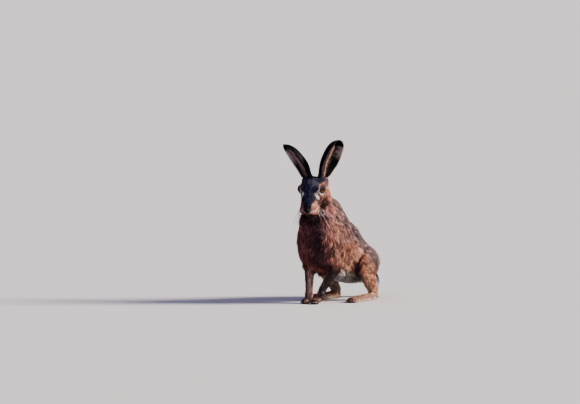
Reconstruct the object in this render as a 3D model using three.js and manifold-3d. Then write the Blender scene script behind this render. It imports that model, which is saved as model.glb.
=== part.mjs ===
import * as THREE from "three";
import { mergeVertices } from "three/addons/utils/BufferGeometryUtils.js";
import Module from "manifold-3d";

// A brown hare (Lepus europaeus), adult, sitting up and alert with its ears raised.
// Millimetres, +Z up. The hare faces -Y, so +X is its left side, and it rests on z = 0.
// The flesh is one field of tapered masses that run along lines, smoothly joined.
// Each sub-part is a tube drawn onto that field round its own line, then parted from
// its neighbours by thin cuts.

const wasm = await Module();
wasm.setup();

// Driving sizes of the animal
const gap = 0.3; // between one sub-part and the next
const noseHeight = 248;
const noseForward = 135.5; // ahead of the origin
const noseAside = 3; // to the left of it
const headYaw = 18; // degrees, towards the hare's left
const headPitch = 38; // degrees, nose down
const headRoll = 0; // degrees, left side up
const earFront = 44; // along the section, from the midrib to the front margin
const earBack = 49; // and to the back margin
const earBow = 21; // the midrib stands behind the line from root to tip, away from the opening
const earLean = { left: 10, right: 15 }; // and this far in front of it
const earTurn = { left: 59, right: 43 }; // degrees, from the head's own forward to the way each ear opens
const earWall = 2.4; // at the midrib
const earRim = 1.4; // at the margins and the tip
const eyeRadius = 10.2;
const lidThickness = 1.6;
const lidOpening = { length: 8.8, height: 8.2 }; // half sizes of the gap between the lids
const elbowHalfWidth = 43;
const footHalfWidth = 15; // the forefeet stand close together
const forefootForward = 104;
const wristHeight = 36;
const hipHalfWidth = 36;
const kneeHalfWidth = 68;
const heelBack = 107;
const hindFootLength = 136;
const hindFootHalfWidth = 61;
const lockRows = 6; // of wet, pointed locks down the throat and the breast
const locksInRow = 7;
const lockTop = 254; // height of the highest row's roots
const lockStep = 23; // from row to row
const lockSpread = 64; // degrees to each side of straight ahead
const lockLength = 42;
const lockHalfWidth = 8.5;
const lockThickness = 3.4;
const lockLift = 6.5; // of the tips above the skin

const degrees = Math.PI / 180;
const X = new THREE.Vector3(1, 0, 0);
const vec = (x, y, z) => new THREE.Vector3(x, y, z);
const mix = THREE.MathUtils.lerp;

// The head has a frame of its own: origin at the nose, +Y towards the nape, +Z the crown.
const nose = vec(noseAside, -noseForward, noseHeight);
const headTurn = new THREE.Quaternion()
  .setFromAxisAngle(vec(0, 0, 1), headYaw * degrees)
  .multiply(new THREE.Quaternion().setFromAxisAngle(X, headPitch * degrees))
  .multiply(new THREE.Quaternion().setFromAxisAngle(vec(0, 1, 0), -headRoll * degrees));
const headPoint = (x, y, z) => vec(x, y, z).applyQuaternion(headTurn).add(nose);
const headDirection = (x, y, z) => vec(x, y, z).applyQuaternion(headTurn).normalize();

// A mass follows a line of points. Each station is [point, half width, half depth]; the
// width lies along `across` and the depth square to it and to the line.
function mass(stations, { across = X, blend = 14, samples = 14 } = {}) {
  const line = new THREE.CatmullRomCurve3(stations.map((s) => s[0]));
  const sizes = new THREE.CatmullRomCurve3(stations.map((s) => vec(s[1], s[2], 0)));
  const made = { line, sizes, across, blend, rungs: [] };
  const count = stations.length === 1 ? 0 : samples;
  for (let i = 0; i <= count; i++) {
    const t = count ? i / count : 0;
    made.rungs.push(rungAt(made, t));
  }
  return made;
}

// The place, frame and size of a mass at t, from 0 to 1 along its line.
function rungAt({ line, sizes, across }, t) {
  const centre = line.getPoint(t);
  const along = line.getTangent(t);
  const side = across.clone().addScaledVector(along, -across.dot(along)).normalize();
  const deep = along.clone().cross(side);
  const size = sizes.getPoint(t);
  return { centre, along, side, deep, width: size.x, depth: size.y };
}

// A lump is a mass with one station: an ellipsoid.
function lump(centre, width, length, height, { turn = headTurn, blend = 10 } = {}) {
  const side = X.clone().applyQuaternion(turn);
  const deep = vec(0, 0, 1).applyQuaternion(turn);
  const along = vec(0, 1, 0).applyQuaternion(turn);
  return { blend, rungs: [{ centre, along, side, deep, width, depth: height, cap: length }] };
}

const offset = new THREE.Vector3();
// Signed distance, roughly, from a point to an ellipse-like section or end cap.
function distanceToRung(p, centre, rung, width, depth, cap) {
  offset.subVectors(p, centre);
  const x = offset.dot(rung.side) / width;
  const y = offset.dot(rung.deep) / depth;
  const z = offset.dot(rung.along) / cap;
  const ratio = Math.hypot(x, y, z);
  if (ratio < 1e-6) return -Math.min(width, depth);
  return offset.length() * (1 - 1 / ratio);
}

const step = new THREE.Vector3();
const spot = new THREE.Vector3();
const blended = { side: vec(0, 0, 0), deep: vec(0, 0, 0), along: vec(0, 0, 0) };
function distanceToMass(p, { rungs }) {
  if (rungs.length === 1) {
    const only = rungs[0];
    return distanceToRung(p, only.centre, only, only.width, only.depth, only.cap);
  }
  let nearest = Infinity;
  for (let i = 0; i + 1 < rungs.length; i++) {
    const a = rungs[i];
    const b = rungs[i + 1];
    step.subVectors(b.centre, a.centre);
    const t = THREE.MathUtils.clamp(offset.subVectors(p, a.centre).dot(step) / step.lengthSq(), 0, 1);
    spot.copy(a.centre).addScaledVector(step, t);
    blended.side.lerpVectors(a.side, b.side, t);
    blended.deep.lerpVectors(a.deep, b.deep, t);
    blended.along.lerpVectors(a.along, b.along, t);
    const width = mix(a.width, b.width, t);
    const depth = mix(a.depth, b.depth, t);
    const cap = Math.min(width, depth);
    nearest = Math.min(nearest, distanceToRung(p, spot, blended, width, depth, cap));
  }
  return nearest;
}

function softUnion(a, b, blend) {
  const near = Math.max(blend - Math.abs(a - b), 0) / blend;
  return Math.min(a, b) - (near * near * blend) / 4;
}

// The signed distance to all of the masses together, the first one being the base.
const fieldOf = (masses) => (p) => {
  let distance = distanceToMass(p, masses[0]);
  for (const m of masses.slice(1)) distance = softUnion(distance, distanceToMass(p, m), m.blend);
  return distance;
};

// Masses of the torso, from the nape to the rump
const torso = mass(
  [
    [vec(-5, -68, 298), 28, 31],
    [vec(-6, -61, 268), 32, 37],
    [vec(-4, -48, 236), 47, 61],
    [vec(0, -44, 200), 57, 75],
    [vec(0, -24, 166), 61, 82],
    [vec(0, 16, 142), 62, 80],
    [vec(0, 62, 115), 57, 61],
    [vec(0, 104, 93), 54, 51],
    [vec(0, 134, 80), 38, 40],
  ],
  { samples: 36 },
);
const breast = mass(
  [
    [vec(-2, -98, 216), 38, 28],
    [vec(0, -96, 178), 50, 34],
    [vec(0, -88, 142), 48, 36],
    [vec(0, -72, 116), 36, 28],
  ],
  { blend: 24 },
);
const belly = mass(
  [
    [vec(0, -40, 100), 34, 26],
    [vec(0, 10, 84), 44, 28],
    [vec(0, 60, 76), 42, 30],
  ],
  { blend: 24 },
);

// Masses of one side's limbs: `s` is 1 for the left and -1 for the right
const elbow = (s) => vec(s * elbowHalfWidth, -60, 96);
const wrist = (s) => vec(s * (footHalfWidth + 6), -forefootForward + 12, wristHeight);
const foreToe = (s) => vec(s * footHalfWidth, -forefootForward - 14, 8);
const upperArm = (s) =>
  mass(
    [
      [vec(s * 38, -66, 176), 18, 34],
      [vec(s * 42, -72, 142), 18, 29],
      [elbow(s).add(vec(0, -4, 12)), 15.5, 21],
      [elbow(s).add(vec(-1 * s, -5, -10)), 13, 16],
    ],
    { blend: 16 },
  );
const forearm = (s) =>
  mass(
    [
      [elbow(s), 14.5, 17.5],
      [elbow(s).lerp(wrist(s), 0.45), 12.5, 14],
      [wrist(s), 10.5, 11.5],
      [wrist(s).add(vec(-1.5 * s, -3, -14)), 10.5, 10],
    ],
    { blend: 10 },
  );
const forepaw = (s) =>
  mass(
    [
      [wrist(s).add(vec(-s, -2, -8)), 9.5, 9.5],
      [wrist(s).add(vec(-4 * s, -9, -23)), 11, 9],
      [foreToe(s), 12, 7.5],
    ],
    { blend: 6 },
  );

const hip = (s) => vec(s * hipHalfWidth, 100, 110);
const knee = (s) => vec(s * kneeHalfWidth, 34, 96);
const hock = (s) => vec(s * hindFootHalfWidth, heelBack - 14, 26);
const heel = (s) => vec(s * hindFootHalfWidth, heelBack - 11, 11);
const hindToe = (s) => vec(s * (hindFootHalfWidth + 6), heelBack - hindFootLength + 12, 8);
const thigh = (s) =>
  mass(
    [
      [hip(s), 29, 40],
      [hip(s).lerp(knee(s), 0.45).add(vec(6 * s, 2, -2)), 29, 44],
      [knee(s).add(vec(0, 6, 2)), 19, 30],
      [knee(s).add(vec(0, -2, 0)), 14, 22],
    ],
    { blend: 28 },
  );
const shank = (s) =>
  mass(
    [
      [knee(s).add(vec(0, 2, -2)), 16, 27],
      [knee(s).lerp(hock(s), 0.45).add(vec(0, 5, 0)), 16, 27],
      [knee(s).lerp(hock(s), 0.8), 14, 19],
      [hock(s), 12.5, 14],
    ],
    { blend: 12 },
  );
const hindFoot = (s) =>
  mass(
    [
      [heel(s), 11.5, 11.5],
      [heel(s).lerp(hindToe(s), 0.35).add(vec(0, 0, -0.5)), 13, 10.5],
      [heel(s).lerp(hindToe(s), 0.72), 15, 9.5],
      [hindToe(s), 15, 7.5],
    ],
    { blend: 8 },
  );
// Toes lie side by side at the end of each foot, and each has a claw.
const toeCount = 4;
const foreToeSpacing = 5.6;
const hindToeSpacing = 7.2;
const clawLength = 9;
const clawRadius = 1.9;
const toeTips = (end, spacing, s) =>
  Array.from({ length: toeCount }, (_, i) => {
    const aside = i - (toeCount - 1) / 2;
    return end(s).add(vec(aside * spacing, Math.abs(aside) * 2 - 3, -2.5));
  });
const toeLumps = (tips, width) =>
  tips.map((tip) => lump(tip, width, 9, 6, { turn: new THREE.Quaternion(), blend: 3 }));
const foreToes = (s) => toeTips(foreToe, foreToeSpacing, s);
const hindToes = (s) => toeTips(hindToe, hindToeSpacing, s);

const tail = mass(
  [
    [vec(0, 138, 84), 15, 15],
    [vec(0, 162, 68), 19, 17],
    [vec(0, 174, 44), 19, 16],
    [vec(0, 176, 27), 13, 11],
  ],
  { blend: 8 },
);

// Masses of the head
const both = (make) => [make(1), make(-1)];
const eye = (s) => headPoint(s * 27, 64, 26);
const cranium = lump(headPoint(0, 80, 22), 27, 32, 25, { blend: 16 });
const snout = mass(
  [
    [headPoint(0, 66, 20), 24, 23],
    [headPoint(0, 42, 13), 20, 18],
    [headPoint(0, 20, 3.5), 17, 14.5],
    [headPoint(0, 10, 0.5), 12, 11.5],
  ],
  { across: headDirection(1, 0, 0), blend: 12 },
);
const whiskerPad = (s) => lump(headPoint(s * 11.5, 20, -6), 15.5, 17, 13, { blend: 5 });
const sideOfFace = (s) => lump(headPoint(s * 13, 44, 4), 13, 26, 15, { blend: 10 });
const nosePad = lump(headPoint(0, 4, 2), 8, 6, 6, { blend: 4 });
const lowerJaw = mass(
  [
    [headPoint(0, 16, -19.5), 10, 8],
    [headPoint(0, 40, -18), 15, 11],
    [headPoint(0, 68, -12), 21, 17],
  ],
  { across: headDirection(1, 0, 0), blend: 5 },
);
const cheek = (s) => lump(headPoint(s * 15, 70, 0), 16, 25, 23, { blend: 14 });
const browBone = (s) => lump(headPoint(s * 19, 66, 26), 13.5, 19, 15, { blend: 7 });
const browRidge = (s) => lump(headPoint(s * 24, 62, 37.5), 8, 14, 4.5, { blend: 5 });
const earRoot = (s) => headPoint(s > 0 ? 22 : -13, 96, 33);
const earRootLump = (s) => lump(headPoint(s > 0 ? 29 : -19, 92, 29), 14, 16, 15, { blend: 10 });

const headMasses = [
  cranium,
  snout,
  nosePad,
  lowerJaw,
  ...both(whiskerPad),
  ...both(sideOfFace),
  ...both(cheek),
  ...both(browBone),
  ...both(browRidge),
  ...both(earRootLump),
];
const trunkMasses = [torso, breast, belly, ...both(upperArm), ...both(thigh)];
// A field cut back to within a reach of some of its masses
const closeTo = (field, own, reach) => (p) => Math.max(field(p), own(p) - reach);
const neckBlend = 18;
const headField = fieldOf(headMasses);
const trunkField = fieldOf(trunkMasses);
const flesh = (p) => softUnion(headField(p), trunkField(p), neckBlend);
const coreField = fieldOf([torso, breast, belly]);
const trunkFlesh = closeTo(flesh, (p) => Math.min(coreField(p), headField(p)), 8);
// The head keeps its own shape at the chin, and runs into the neck behind the jaw.
function headFlesh(p) {
  const behind = p.clone().sub(nose).dot(headDirection(0, 1, 0));
  const reach = mix(1.5, 16, THREE.MathUtils.smoothstep(behind, 44, 84));
  return Math.max(flesh(p), headField(p) - reach);
}
const tailField = fieldOf([tail]);
const foreLumps = (s) => toeLumps(foreToes(s), 3.9);
const hindLumps = (s) => toeLumps(hindToes(s), 4.8);
const foreField = (make, s) =>
  closeTo(fieldOf([forearm(s), forepaw(s), ...foreLumps(s)]), fieldOf([make(s), ...foreLumps(s)]), 4);
const hindField = (make, s) =>
  closeTo(fieldOf([shank(s), hindFoot(s), ...hindLumps(s)]), fieldOf([make(s), ...hindLumps(s)]), 4);

// Distance from a centre, along a direction, to the surface of a field
function reachOf(field, centre, direction, limit) {
  const p = vec(0, 0, 0);
  let inside = 0;
  let outside = limit;
  for (let d = 1; d < limit; d += 2.5) {
    if (field(p.copy(centre).addScaledVector(direction, d)) > 0) {
      outside = d;
      break;
    }
    inside = d;
  }
  if (inside + 2.5 >= limit) return limit;
  for (let i = 0; i < 12; i++) {
    const middle = (inside + outside) / 2;
    if (field(p.copy(centre).addScaledVector(direction, middle)) > 0) outside = middle;
    else inside = middle;
  }
  return outside;
}

// A closed geometry from rings of points, with a pole point at each end
function closedRings(rings, startPole, endPole) {
  const sides = rings[0].length;
  const points = [startPole, ...rings.flat(), endPole];
  const at = (ring, side) => 1 + ring * sides + (side % sides);
  const faces = [];
  for (let j = 0; j < sides; j++) {
    faces.push(0, at(0, j + 1), at(0, j));
    faces.push(points.length - 1, at(rings.length - 1, j), at(rings.length - 1, j + 1));
    for (let i = 0; i + 1 < rings.length; i++) {
      faces.push(at(i, j), at(i, j + 1), at(i + 1, j + 1));
      faces.push(at(i, j), at(i + 1, j + 1), at(i + 1, j));
    }
  }
  const geometry = new THREE.BufferGeometry().setFromPoints(points);
  geometry.setIndex(faces);
  return geometry;
}

// A tube round a mass's line, drawn out to a field. `swell` moves the surface outwards.
function tubeOn(field, source, { rings = 16, sides = 24, caps = 4, limit = 90, swell = 0 } = {}) {
  const grown = swell ? (p) => field(p) - swell : field;
  const rows = [];
  const row = (rung, lift) =>
    Array.from({ length: sides }, (_, j) => {
      const angle = (2 * Math.PI * j) / sides;
      const outwards = rung.side
        .clone()
        .multiplyScalar(Math.cos(angle) * Math.cos(lift))
        .addScaledVector(rung.deep, Math.sin(angle) * Math.cos(lift))
        .addScaledVector(rung.along, Math.sin(lift));
      const reach = reachOf(grown, rung.centre, outwards, limit);
      return rung.centre.clone().addScaledVector(outwards, reach);
    });
  const first = rungAt(source, 0);
  const last = rungAt(source, 1);
  for (let i = 1; i <= caps; i++) rows.push(row(first, -(1 - i / (caps + 1)) * (Math.PI / 2)));
  for (let i = 0; i <= rings; i++) rows.push(row(rungAt(source, i / rings), 0));
  for (let i = 1; i <= caps; i++) rows.push(row(last, (i / (caps + 1)) * (Math.PI / 2)));
  const pole = (rung, sign) => {
    const outwards = rung.along.clone().multiplyScalar(sign);
    return rung.centre.clone().addScaledVector(outwards, reachOf(grown, rung.centre, outwards, limit));
  };
  return solidFrom(closedRings(rows, pole(first, -1), pole(last, 1)));
}

// A three.js geometry as a manifold-3d solid, facing outwards
function solidFrom(geometry) {
  const bare = geometry.clone();
  bare.deleteAttribute("normal");
  bare.deleteAttribute("uv");
  const merged = mergeVertices(bare, 1e-4);
  const mesh = new wasm.Mesh({
    numProp: 3,
    vertProperties: new Float32Array(merged.attributes.position.array),
    triVerts: new Uint32Array(merged.index.array),
  });
  const solid = new wasm.Manifold(mesh);
  if (solid.volume() > 0) return solid;
  const turned = merged.index.array;
  for (let i = 0; i < turned.length; i += 3) [turned[i + 1], turned[i + 2]] = [turned[i + 2], turned[i + 1]];
  return new wasm.Manifold(
    new wasm.Mesh({ numProp: 3, vertProperties: mesh.vertProperties, triVerts: new Uint32Array(turned) }),
  );
}

function geometryFrom(solid) {
  const mesh = solid.getMesh();
  const geometry = new THREE.BufferGeometry();
  geometry.setAttribute("position", new THREE.BufferAttribute(new Float32Array(mesh.vertProperties), 3));
  geometry.setIndex(new THREE.BufferAttribute(new Uint32Array(mesh.triVerts), 1));
  geometry.computeVertexNormals();
  return geometry;
}

// Of a solid in several pieces, the largest one
const largest = (solid) => solid.decompose().reduce((a, b) => (b.volume() > a.volume() ? b : a));

// A thin cut: the plane's two sides, each half a gap away from it
const cutAt = (point, normal) => ({ point, normal: normal.clone().normalize() });
const beyond = (solid, { point, normal }) =>
  solid.trimByPlane(normal.toArray(), point.dot(normal) + gap / 2);
const before = (solid, { point, normal }) =>
  solid.trimByPlane(normal.clone().negate().toArray(), -point.dot(normal) + gap / 2);
const onFloor = (solid) => solid.trimByPlane([0, 0, 1], 0);

const ball = (centre, radius, across = 18, down = 12) =>
  solidFrom(new THREE.SphereGeometry(radius, across, down).translate(...centre.toArray()));

// The head and the roots of the limbs are parted from the torso by a ball and by egg shapes.
function cell(centre, radii, tilt, swell = 0) {
  const geometry = new THREE.SphereGeometry(1, 18, 12);
  geometry.scale(radii.x + swell, radii.y + swell, radii.z + swell);
  geometry.rotateX(tilt * degrees);
  geometry.translate(...centre.toArray());
  return solidFrom(geometry);
}
const headCell = (swell) => ball(headPoint(0, 30, 60), 90 + swell, 28, 16);
const shoulderCell = (s, swell) => cell(vec(s * 76, -72, 134), vec(36, 36, 58), -8, swell);
const haunchCell = (s, swell) => cell(vec(s * 88, 79, 98), vec(46, 66, 66), -14, swell);

// Cuts between the sub-parts. Each normal points from the first part to the second.
const neckChestCut = cutAt(vec(0, -62, 222), vec(0, 0.12, -1));
const chestBellyCut = cutAt(vec(0, -18, 138), vec(0, 0.82, -0.57));
const bellyRumpCut = cutAt(vec(0, 56, 100), vec(0, 0.94, -0.34));
const wristCut = (s) => cutAt(wrist(s).add(vec(-s, -1.5, -4)), vec(-0.2 * s, -0.3, -1));
const hockCut = (s) => cutAt(hock(s).add(vec(0, -4, -7)), vec(0, -0.35, -1));

// The head, drawn round a line from the nose to the nape
const headLine = mass(
  [
    [headPoint(0, 11, 0), 1, 1],
    [headPoint(0, 34, 3), 1, 1],
    [headPoint(0, 62, 9), 1, 1],
    [headPoint(0, 84, 13), 1, 1],
    [headPoint(0, 100, 12), 1, 1],
  ],
  { across: headDirection(1, 0, 0) },
);
const headTube = (swell) => tubeOn(headFlesh, headLine, { rings: 18, sides: 30, caps: 5, limit: 60, swell });

// The lids: a shell over the eyeball with an almond opening in the way the eye looks
const lookOut = (s) => headDirection(s * 0.93, -0.3, 0.16);
function lids(s) {
  const shell = ball(eye(s), eyeRadius + lidThickness, 16, 10);
  const toOpening = new THREE.Quaternion().setFromUnitVectors(vec(0, 0, 1), lookOut(s));
  const opening = new THREE.SphereGeometry(1, 18, 8);
  opening.scale(lidOpening.length, lidOpening.height, 8);
  opening.applyQuaternion(toOpening);
  opening.translate(...eye(s).addScaledVector(lookOut(s), eyeRadius).toArray());
  return shell.subtract(solidFrom(opening));
}

// A fine tube sunk in the head's surface along a path of aims from a point inside it
function groove(from, aims, radius, sink, count = 10) {
  const aim = new THREE.CatmullRomCurve3(aims);
  const points = [];
  for (let i = 0; i <= count; i++) {
    const direction = aim.getPoint(i / count).sub(from).normalize();
    const reach = reachOf(headField, from, direction, 60);
    points.push(from.clone().addScaledVector(direction, reach - sink));
  }
  const path = new THREE.CatmullRomCurve3(points);
  const rows = [];
  const frames = path.computeFrenetFrames(count);
  for (let i = 0; i <= count; i++) {
    rows.push(
      Array.from({ length: 6 }, (_, j) => {
        const angle = (j * Math.PI) / 3;
        return path
          .getPointAt(i / count)
          .addScaledVector(frames.normals[i], radius * Math.cos(angle))
          .addScaledVector(frames.binormals[i], radius * Math.sin(angle));
      }),
    );
  }
  const end = (at, sign) => path.getPointAt(at).addScaledVector(path.getTangentAt(at), sign * radius);
  return solidFrom(closedRings(rows, end(0, -1), end(1, 1)));
}
const snoutCentre = headPoint(0, 22, -4);
const mouthLine = () =>
  groove(
    snoutCentre,
    [
      headPoint(-13, 30, -17),
      headPoint(-9, 14, -16),
      headPoint(0, 6, -12),
      headPoint(9, 14, -16),
      headPoint(13, 30, -17),
    ],
    1.1,
    0.5,
    16,
  );
const philtrum = () =>
  groove(snoutCentre, [headPoint(0, 0, -1), headPoint(0, 1, -6), headPoint(0, 5, -12)], 0.9, 0.4, 6);
const nostril = (s) =>
  groove(
    headPoint(0, 14, 0),
    [headPoint(s * 1.6, 0, -1), headPoint(s * 4.4, 0, 1.4), headPoint(s * 7.4, 3, 3.6)],
    1.3,
    0.5,
    6,
  );

function headPart() {
  let solid = headTube(0).intersect(headCell(0));
  for (const s of [1, -1]) solid = solid.add(lids(s)).subtract(ball(eye(s), eyeRadius + gap, 16, 10));
  for (const cut of [mouthLine(), philtrum(), nostril(1), nostril(-1)]) solid = solid.subtract(cut);
  return largest(solid);
}
const eyePart = (s) => ball(eye(s), eyeRadius, 14, 9);

// An ear: a rolled leaf. Its section is two arcs that leave the midrib, the front one tightly
// curled and the back one open; both lengths follow the ear's outline from root to tip.
const earTip = (s) => (s > 0 ? vec(40, 31, 105) : vec(-64, -26, 92));
const earOutline = {
  left: { widest: 0.58, bluntness: 0.57 }, // how far up it is widest, and how round its tip is
  right: { widest: 0.46, bluntness: 0.66 }, // (a smaller number is rounder)
};
function earShare(t, { widest, bluntness }) {
  if (t < widest) return mix(0.5, 1, Math.sin((t / widest) * (Math.PI / 2)) ** 1.2);
  const beyondWidest = (t - widest) / (1 - widest);
  return Math.max(0.1, (1 - beyondWidest ** 3) ** bluntness);
}
const earRows = 15;
const earColumns = 10;
function earPart(s) {
  const root = earRoot(s).addScaledVector(headDirection(0, 0.1, 1), -4);
  const tip = earRoot(s).add(earTip(s));
  const middle = root.clone().lerp(tip, 0.45).addScaledVector(headDirection(s * 0.2, 1, 0), 3);
  const midrib = new THREE.CatmullRomCurve3([root, middle, tip]);
  const facing = (headYaw + s * (s > 0 ? earTurn.left : earTurn.right)) * degrees;
  const lean = s > 0 ? earLean.left : earLean.right;
  const outline = s > 0 ? earOutline.left : earOutline.right;
  const outer = [];
  const inner = [];
  for (let i = 0; i <= earRows; i++) {
    const t = 1 - (1 - i / earRows) ** 1.45;
    const share = earShare(t, outline);
    const centre = midrib.getPoint(t);
    const along = midrib.getTangent(t);
    const open = vec(Math.sin(facing), -Math.cos(facing), 0);
    open.addScaledVector(along, -open.dot(along)).normalize();
    const back = vec(Math.cos(facing), Math.sin(facing), 0).multiplyScalar(s);
    back.addScaledVector(along, -back.dot(along)).normalize();
    centre.addScaledVector(open, -earBow * share).addScaledVector(back, -lean * share);
    const rolled = mix(2.7, 1, THREE.MathUtils.smoothstep(t, 0, 0.34)); // nearly a tube at the root
    const curl = { front: 2.1 * mix(1, rolled, 0.3), back: 0.85 * rolled };
    const outerRow = [];
    const innerRow = [];
    for (let j = 0; j <= earColumns; j++) {
      const u = (2 * j) / earColumns - 1;
      const length = (u < 0 ? earFront : earBack) * share;
      const bend = u < 0 ? curl.front : curl.back;
      const angle = bend * u;
      const radius = length / bend;
      const wall = mix(earWall, earRim, Math.max(u * u, t * t)) * (i === earRows ? 0.7 : 1);
      const at = (r) =>
        centre
          .clone()
          .addScaledVector(back, r * Math.sin(angle))
          .addScaledVector(open, radius - r * Math.cos(angle));
      outerRow.push(at(radius));
      innerRow.push(at(Math.max(radius - wall, radius * 0.35)));
    }
    outer.push(outerRow);
    inner.push(innerRow);
  }
  const rows = outer.map((row, i) => [...row, ...inner[i].slice().reverse()]);
  const leaf = sheetSolid(rows);
  return largest(leaf.subtract(headTube(gap)));
}

// A closed solid from rows that each go round the leaf's outer wall and back along the inner one
function sheetSolid(rows) {
  const around = rows[0].length;
  const half = around / 2;
  const points = rows.flat();
  const at = (row, column) => row * around + (column % around);
  const faces = [];
  for (let i = 0; i + 1 < rows.length; i++) {
    for (let j = 0; j < around; j++) {
      const corners = [at(i, j), at(i, j + 1), at(i + 1, j + 1), at(i + 1, j)];
      const flipped = j >= half - 1;
      if (flipped) faces.push(corners[0], corners[1], corners[3], corners[1], corners[2], corners[3]);
      else faces.push(corners[0], corners[1], corners[2], corners[0], corners[2], corners[3]);
    }
  }
  for (const [row, turn] of [[0, 1], [rows.length - 1, -1]]) {
    for (let j = 0; j + 1 < half; j++) {
      const quad = [at(row, j), at(row, around - 1 - j), at(row, around - 2 - j), at(row, j + 1)];
      if (turn < 0) quad.reverse();
      faces.push(quad[0], quad[1], quad[2], quad[0], quad[2], quad[3]);
    }
  }
  const geometry = new THREE.BufferGeometry().setFromPoints(points);
  geometry.setIndex(faces);
  return solidFrom(geometry);
}

// Lower limbs and the tail are drawn on fields of their own. The trunk has pockets for them.
const foreTube = (make, s, swell, more) =>
  tubeOn(foreField(make, s), make(s), { rings: 7, sides: 14, caps: 2, limit: 50, swell, ...more });
const hindTube = (make, s, swell, more) =>
  tubeOn(hindField(make, s), make(s), { rings: 7, sides: 14, caps: 2, limit: 50, swell, ...more });
const tailTube = (swell) => tubeOn(tailField, tail, { rings: 7, sides: 14, caps: 3, limit: 50, swell });

// A claw: a bent cone that starts inside the toe
function claw(tip, swell = 0) {
  const bend = new THREE.CatmullRomCurve3([
    tip.clone().add(vec(0, -4 + swell, 0.5)),
    tip.clone().add(vec(0, -4 - clawLength * 0.55, 0.2)),
    tip.clone().add(vec(0, -4 - clawLength, -2.6)),
  ]);
  const rows = [0, 0.55].map((t) => {
    const centre = bend.getPoint(t);
    const radius = clawRadius * (1 - 0.75 * t) + swell;
    return Array.from({ length: 6 }, (_, j) => {
      const angle = (j * Math.PI) / 3;
      return centre.clone().add(vec(radius * Math.cos(angle), 0, radius * 1.3 * Math.sin(angle)));
    });
  });
  return solidFrom(closedRings(rows, bend.getPoint(0), bend.getPoint(1).add(vec(0, -swell, 0))));
}

// A foot beyond its cut, flat on the floor, with a socket for each claw
function footPart(tube, cut, tips) {
  let solid = onFloor(beyond(tube, cut));
  for (const tip of tips) solid = solid.subtract(claw(tip, gap));
  return largest(solid);
}
const pawMesh = { rings: 4, sides: 14, caps: 4 };

const forearmPart = (s) => largest(before(foreTube(forearm, s, 0), wristCut(s)));
const forepawPart = (s) => footPart(foreTube(forepaw, s, 0, pawMesh), wristCut(s), foreToes(s));
const shankPart = (s) => largest(before(hindTube(shank, s, 0), hockCut(s)));
const hindFootPart = (s) => footPart(hindTube(hindFoot, s, 0, pawMesh), hockCut(s), hindToes(s));
const tailPart = () => largest(onFloor(tailTube(0)));

const forePocket = (s) => foreTube(forearm, s, gap);
const hindPocket = (s) => hindTube(shank, s, gap);

function upperArmPart(s) {
  const tube = tubeOn(flesh, upperArm(s), { rings: 7, sides: 16, limit: 60 });
  return largest(tube.intersect(shoulderCell(s, 0)).subtract(forePocket(s)));
}
function thighPart(s) {
  const tube = tubeOn(flesh, thigh(s), { rings: 9, sides: 20, limit: 80 });
  return largest(tube.intersect(haunchCell(s, 0)).subtract(hindPocket(s)));
}

// Seeded numbers from 0 to 1, the same in each run
let seed = 11;
function random() {
  seed = (seed * 16807) % 2147483647;
  return seed / 2147483647;
}
const varied = (share) => 1 + share * (2 * random() - 1);

// The outward direction of a field at a point
function slopeOf(field, p) {
  const change = (axis) => field(p.clone().add(axis)) - field(p.clone().sub(axis));
  return vec(change(vec(1, 0, 0)), change(vec(0, 1, 0)), change(vec(0, 0, 1))).normalize();
}

// A lock: a flat, tapered strip of diamond section that leaves the skin at its root, follows
// the body downwards and lifts a little towards its tip
function lock(root, sway) {
  const length = lockLength * varied(0.28);
  const halfWidth = lockHalfWidth * varied(0.2);
  const lift = lockLift * varied(0.45);
  const stations = [[0, -2.6, 0.5], [0.36, 0.3 * lift, 1], [0.7, 0.72 * lift, 0.66]];
  const skin = root.clone();
  const rows = [];
  let from = 0;
  let out = slopeOf(trunkFlesh, skin);
  const downwards = () => {
    const down = vec(Math.sin(sway), 0, -Math.cos(sway));
    return down.addScaledVector(out, -down.dot(out)).normalize();
  };
  const follow = (share) => {
    skin.addScaledVector(downwards(), (share - from) * length);
    from = share;
    out = slopeOf(trunkFlesh, skin);
    skin.addScaledVector(out, -trunkFlesh(skin));
  };
  for (const [share, height, width] of stations) {
    follow(share);
    const side = out.clone().cross(downwards()).multiplyScalar(halfWidth * width);
    const deep = out.clone().multiplyScalar((lockThickness / 2) * width);
    const centre = skin.clone().addScaledVector(out, height);
    rows.push([
      centre.clone().add(side),
      centre.clone().add(deep),
      centre.clone().sub(side),
      centre.clone().sub(deep),
    ]);
  }
  const start = rows[0][0].clone().add(rows[0][2]).multiplyScalar(0.5).addScaledVector(downwards(), -2);
  follow(1);
  return solidFrom(closedRings(rows, start, skin.clone().addScaledVector(out, lift)));
}

// The rows stand half a lock aside from one another, like tiles.
function breastLocks() {
  const locks = [];
  for (let row = 0; row < lockRows; row++) {
    const height = lockTop - row * lockStep;
    for (let i = 0; i < locksInRow; i++) {
      const share = (i + (row % 2) / 2) / (locksInRow - 0.5);
      const angle = (mix(-lockSpread, lockSpread, share) + 5 * (random() - 0.5)) * degrees;
      const inside = vec(-4, -50, height + 7 * (random() - 0.5));
      const outwards = vec(Math.sin(angle), -Math.cos(angle), 0);
      const reach = reachOf(trunkFlesh, inside, outwards, 110);
      locks.push(lock(inside.addScaledVector(outwards, reach), 0.25 * (random() - 0.5)));
    }
  }
  return locks;
}

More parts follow.
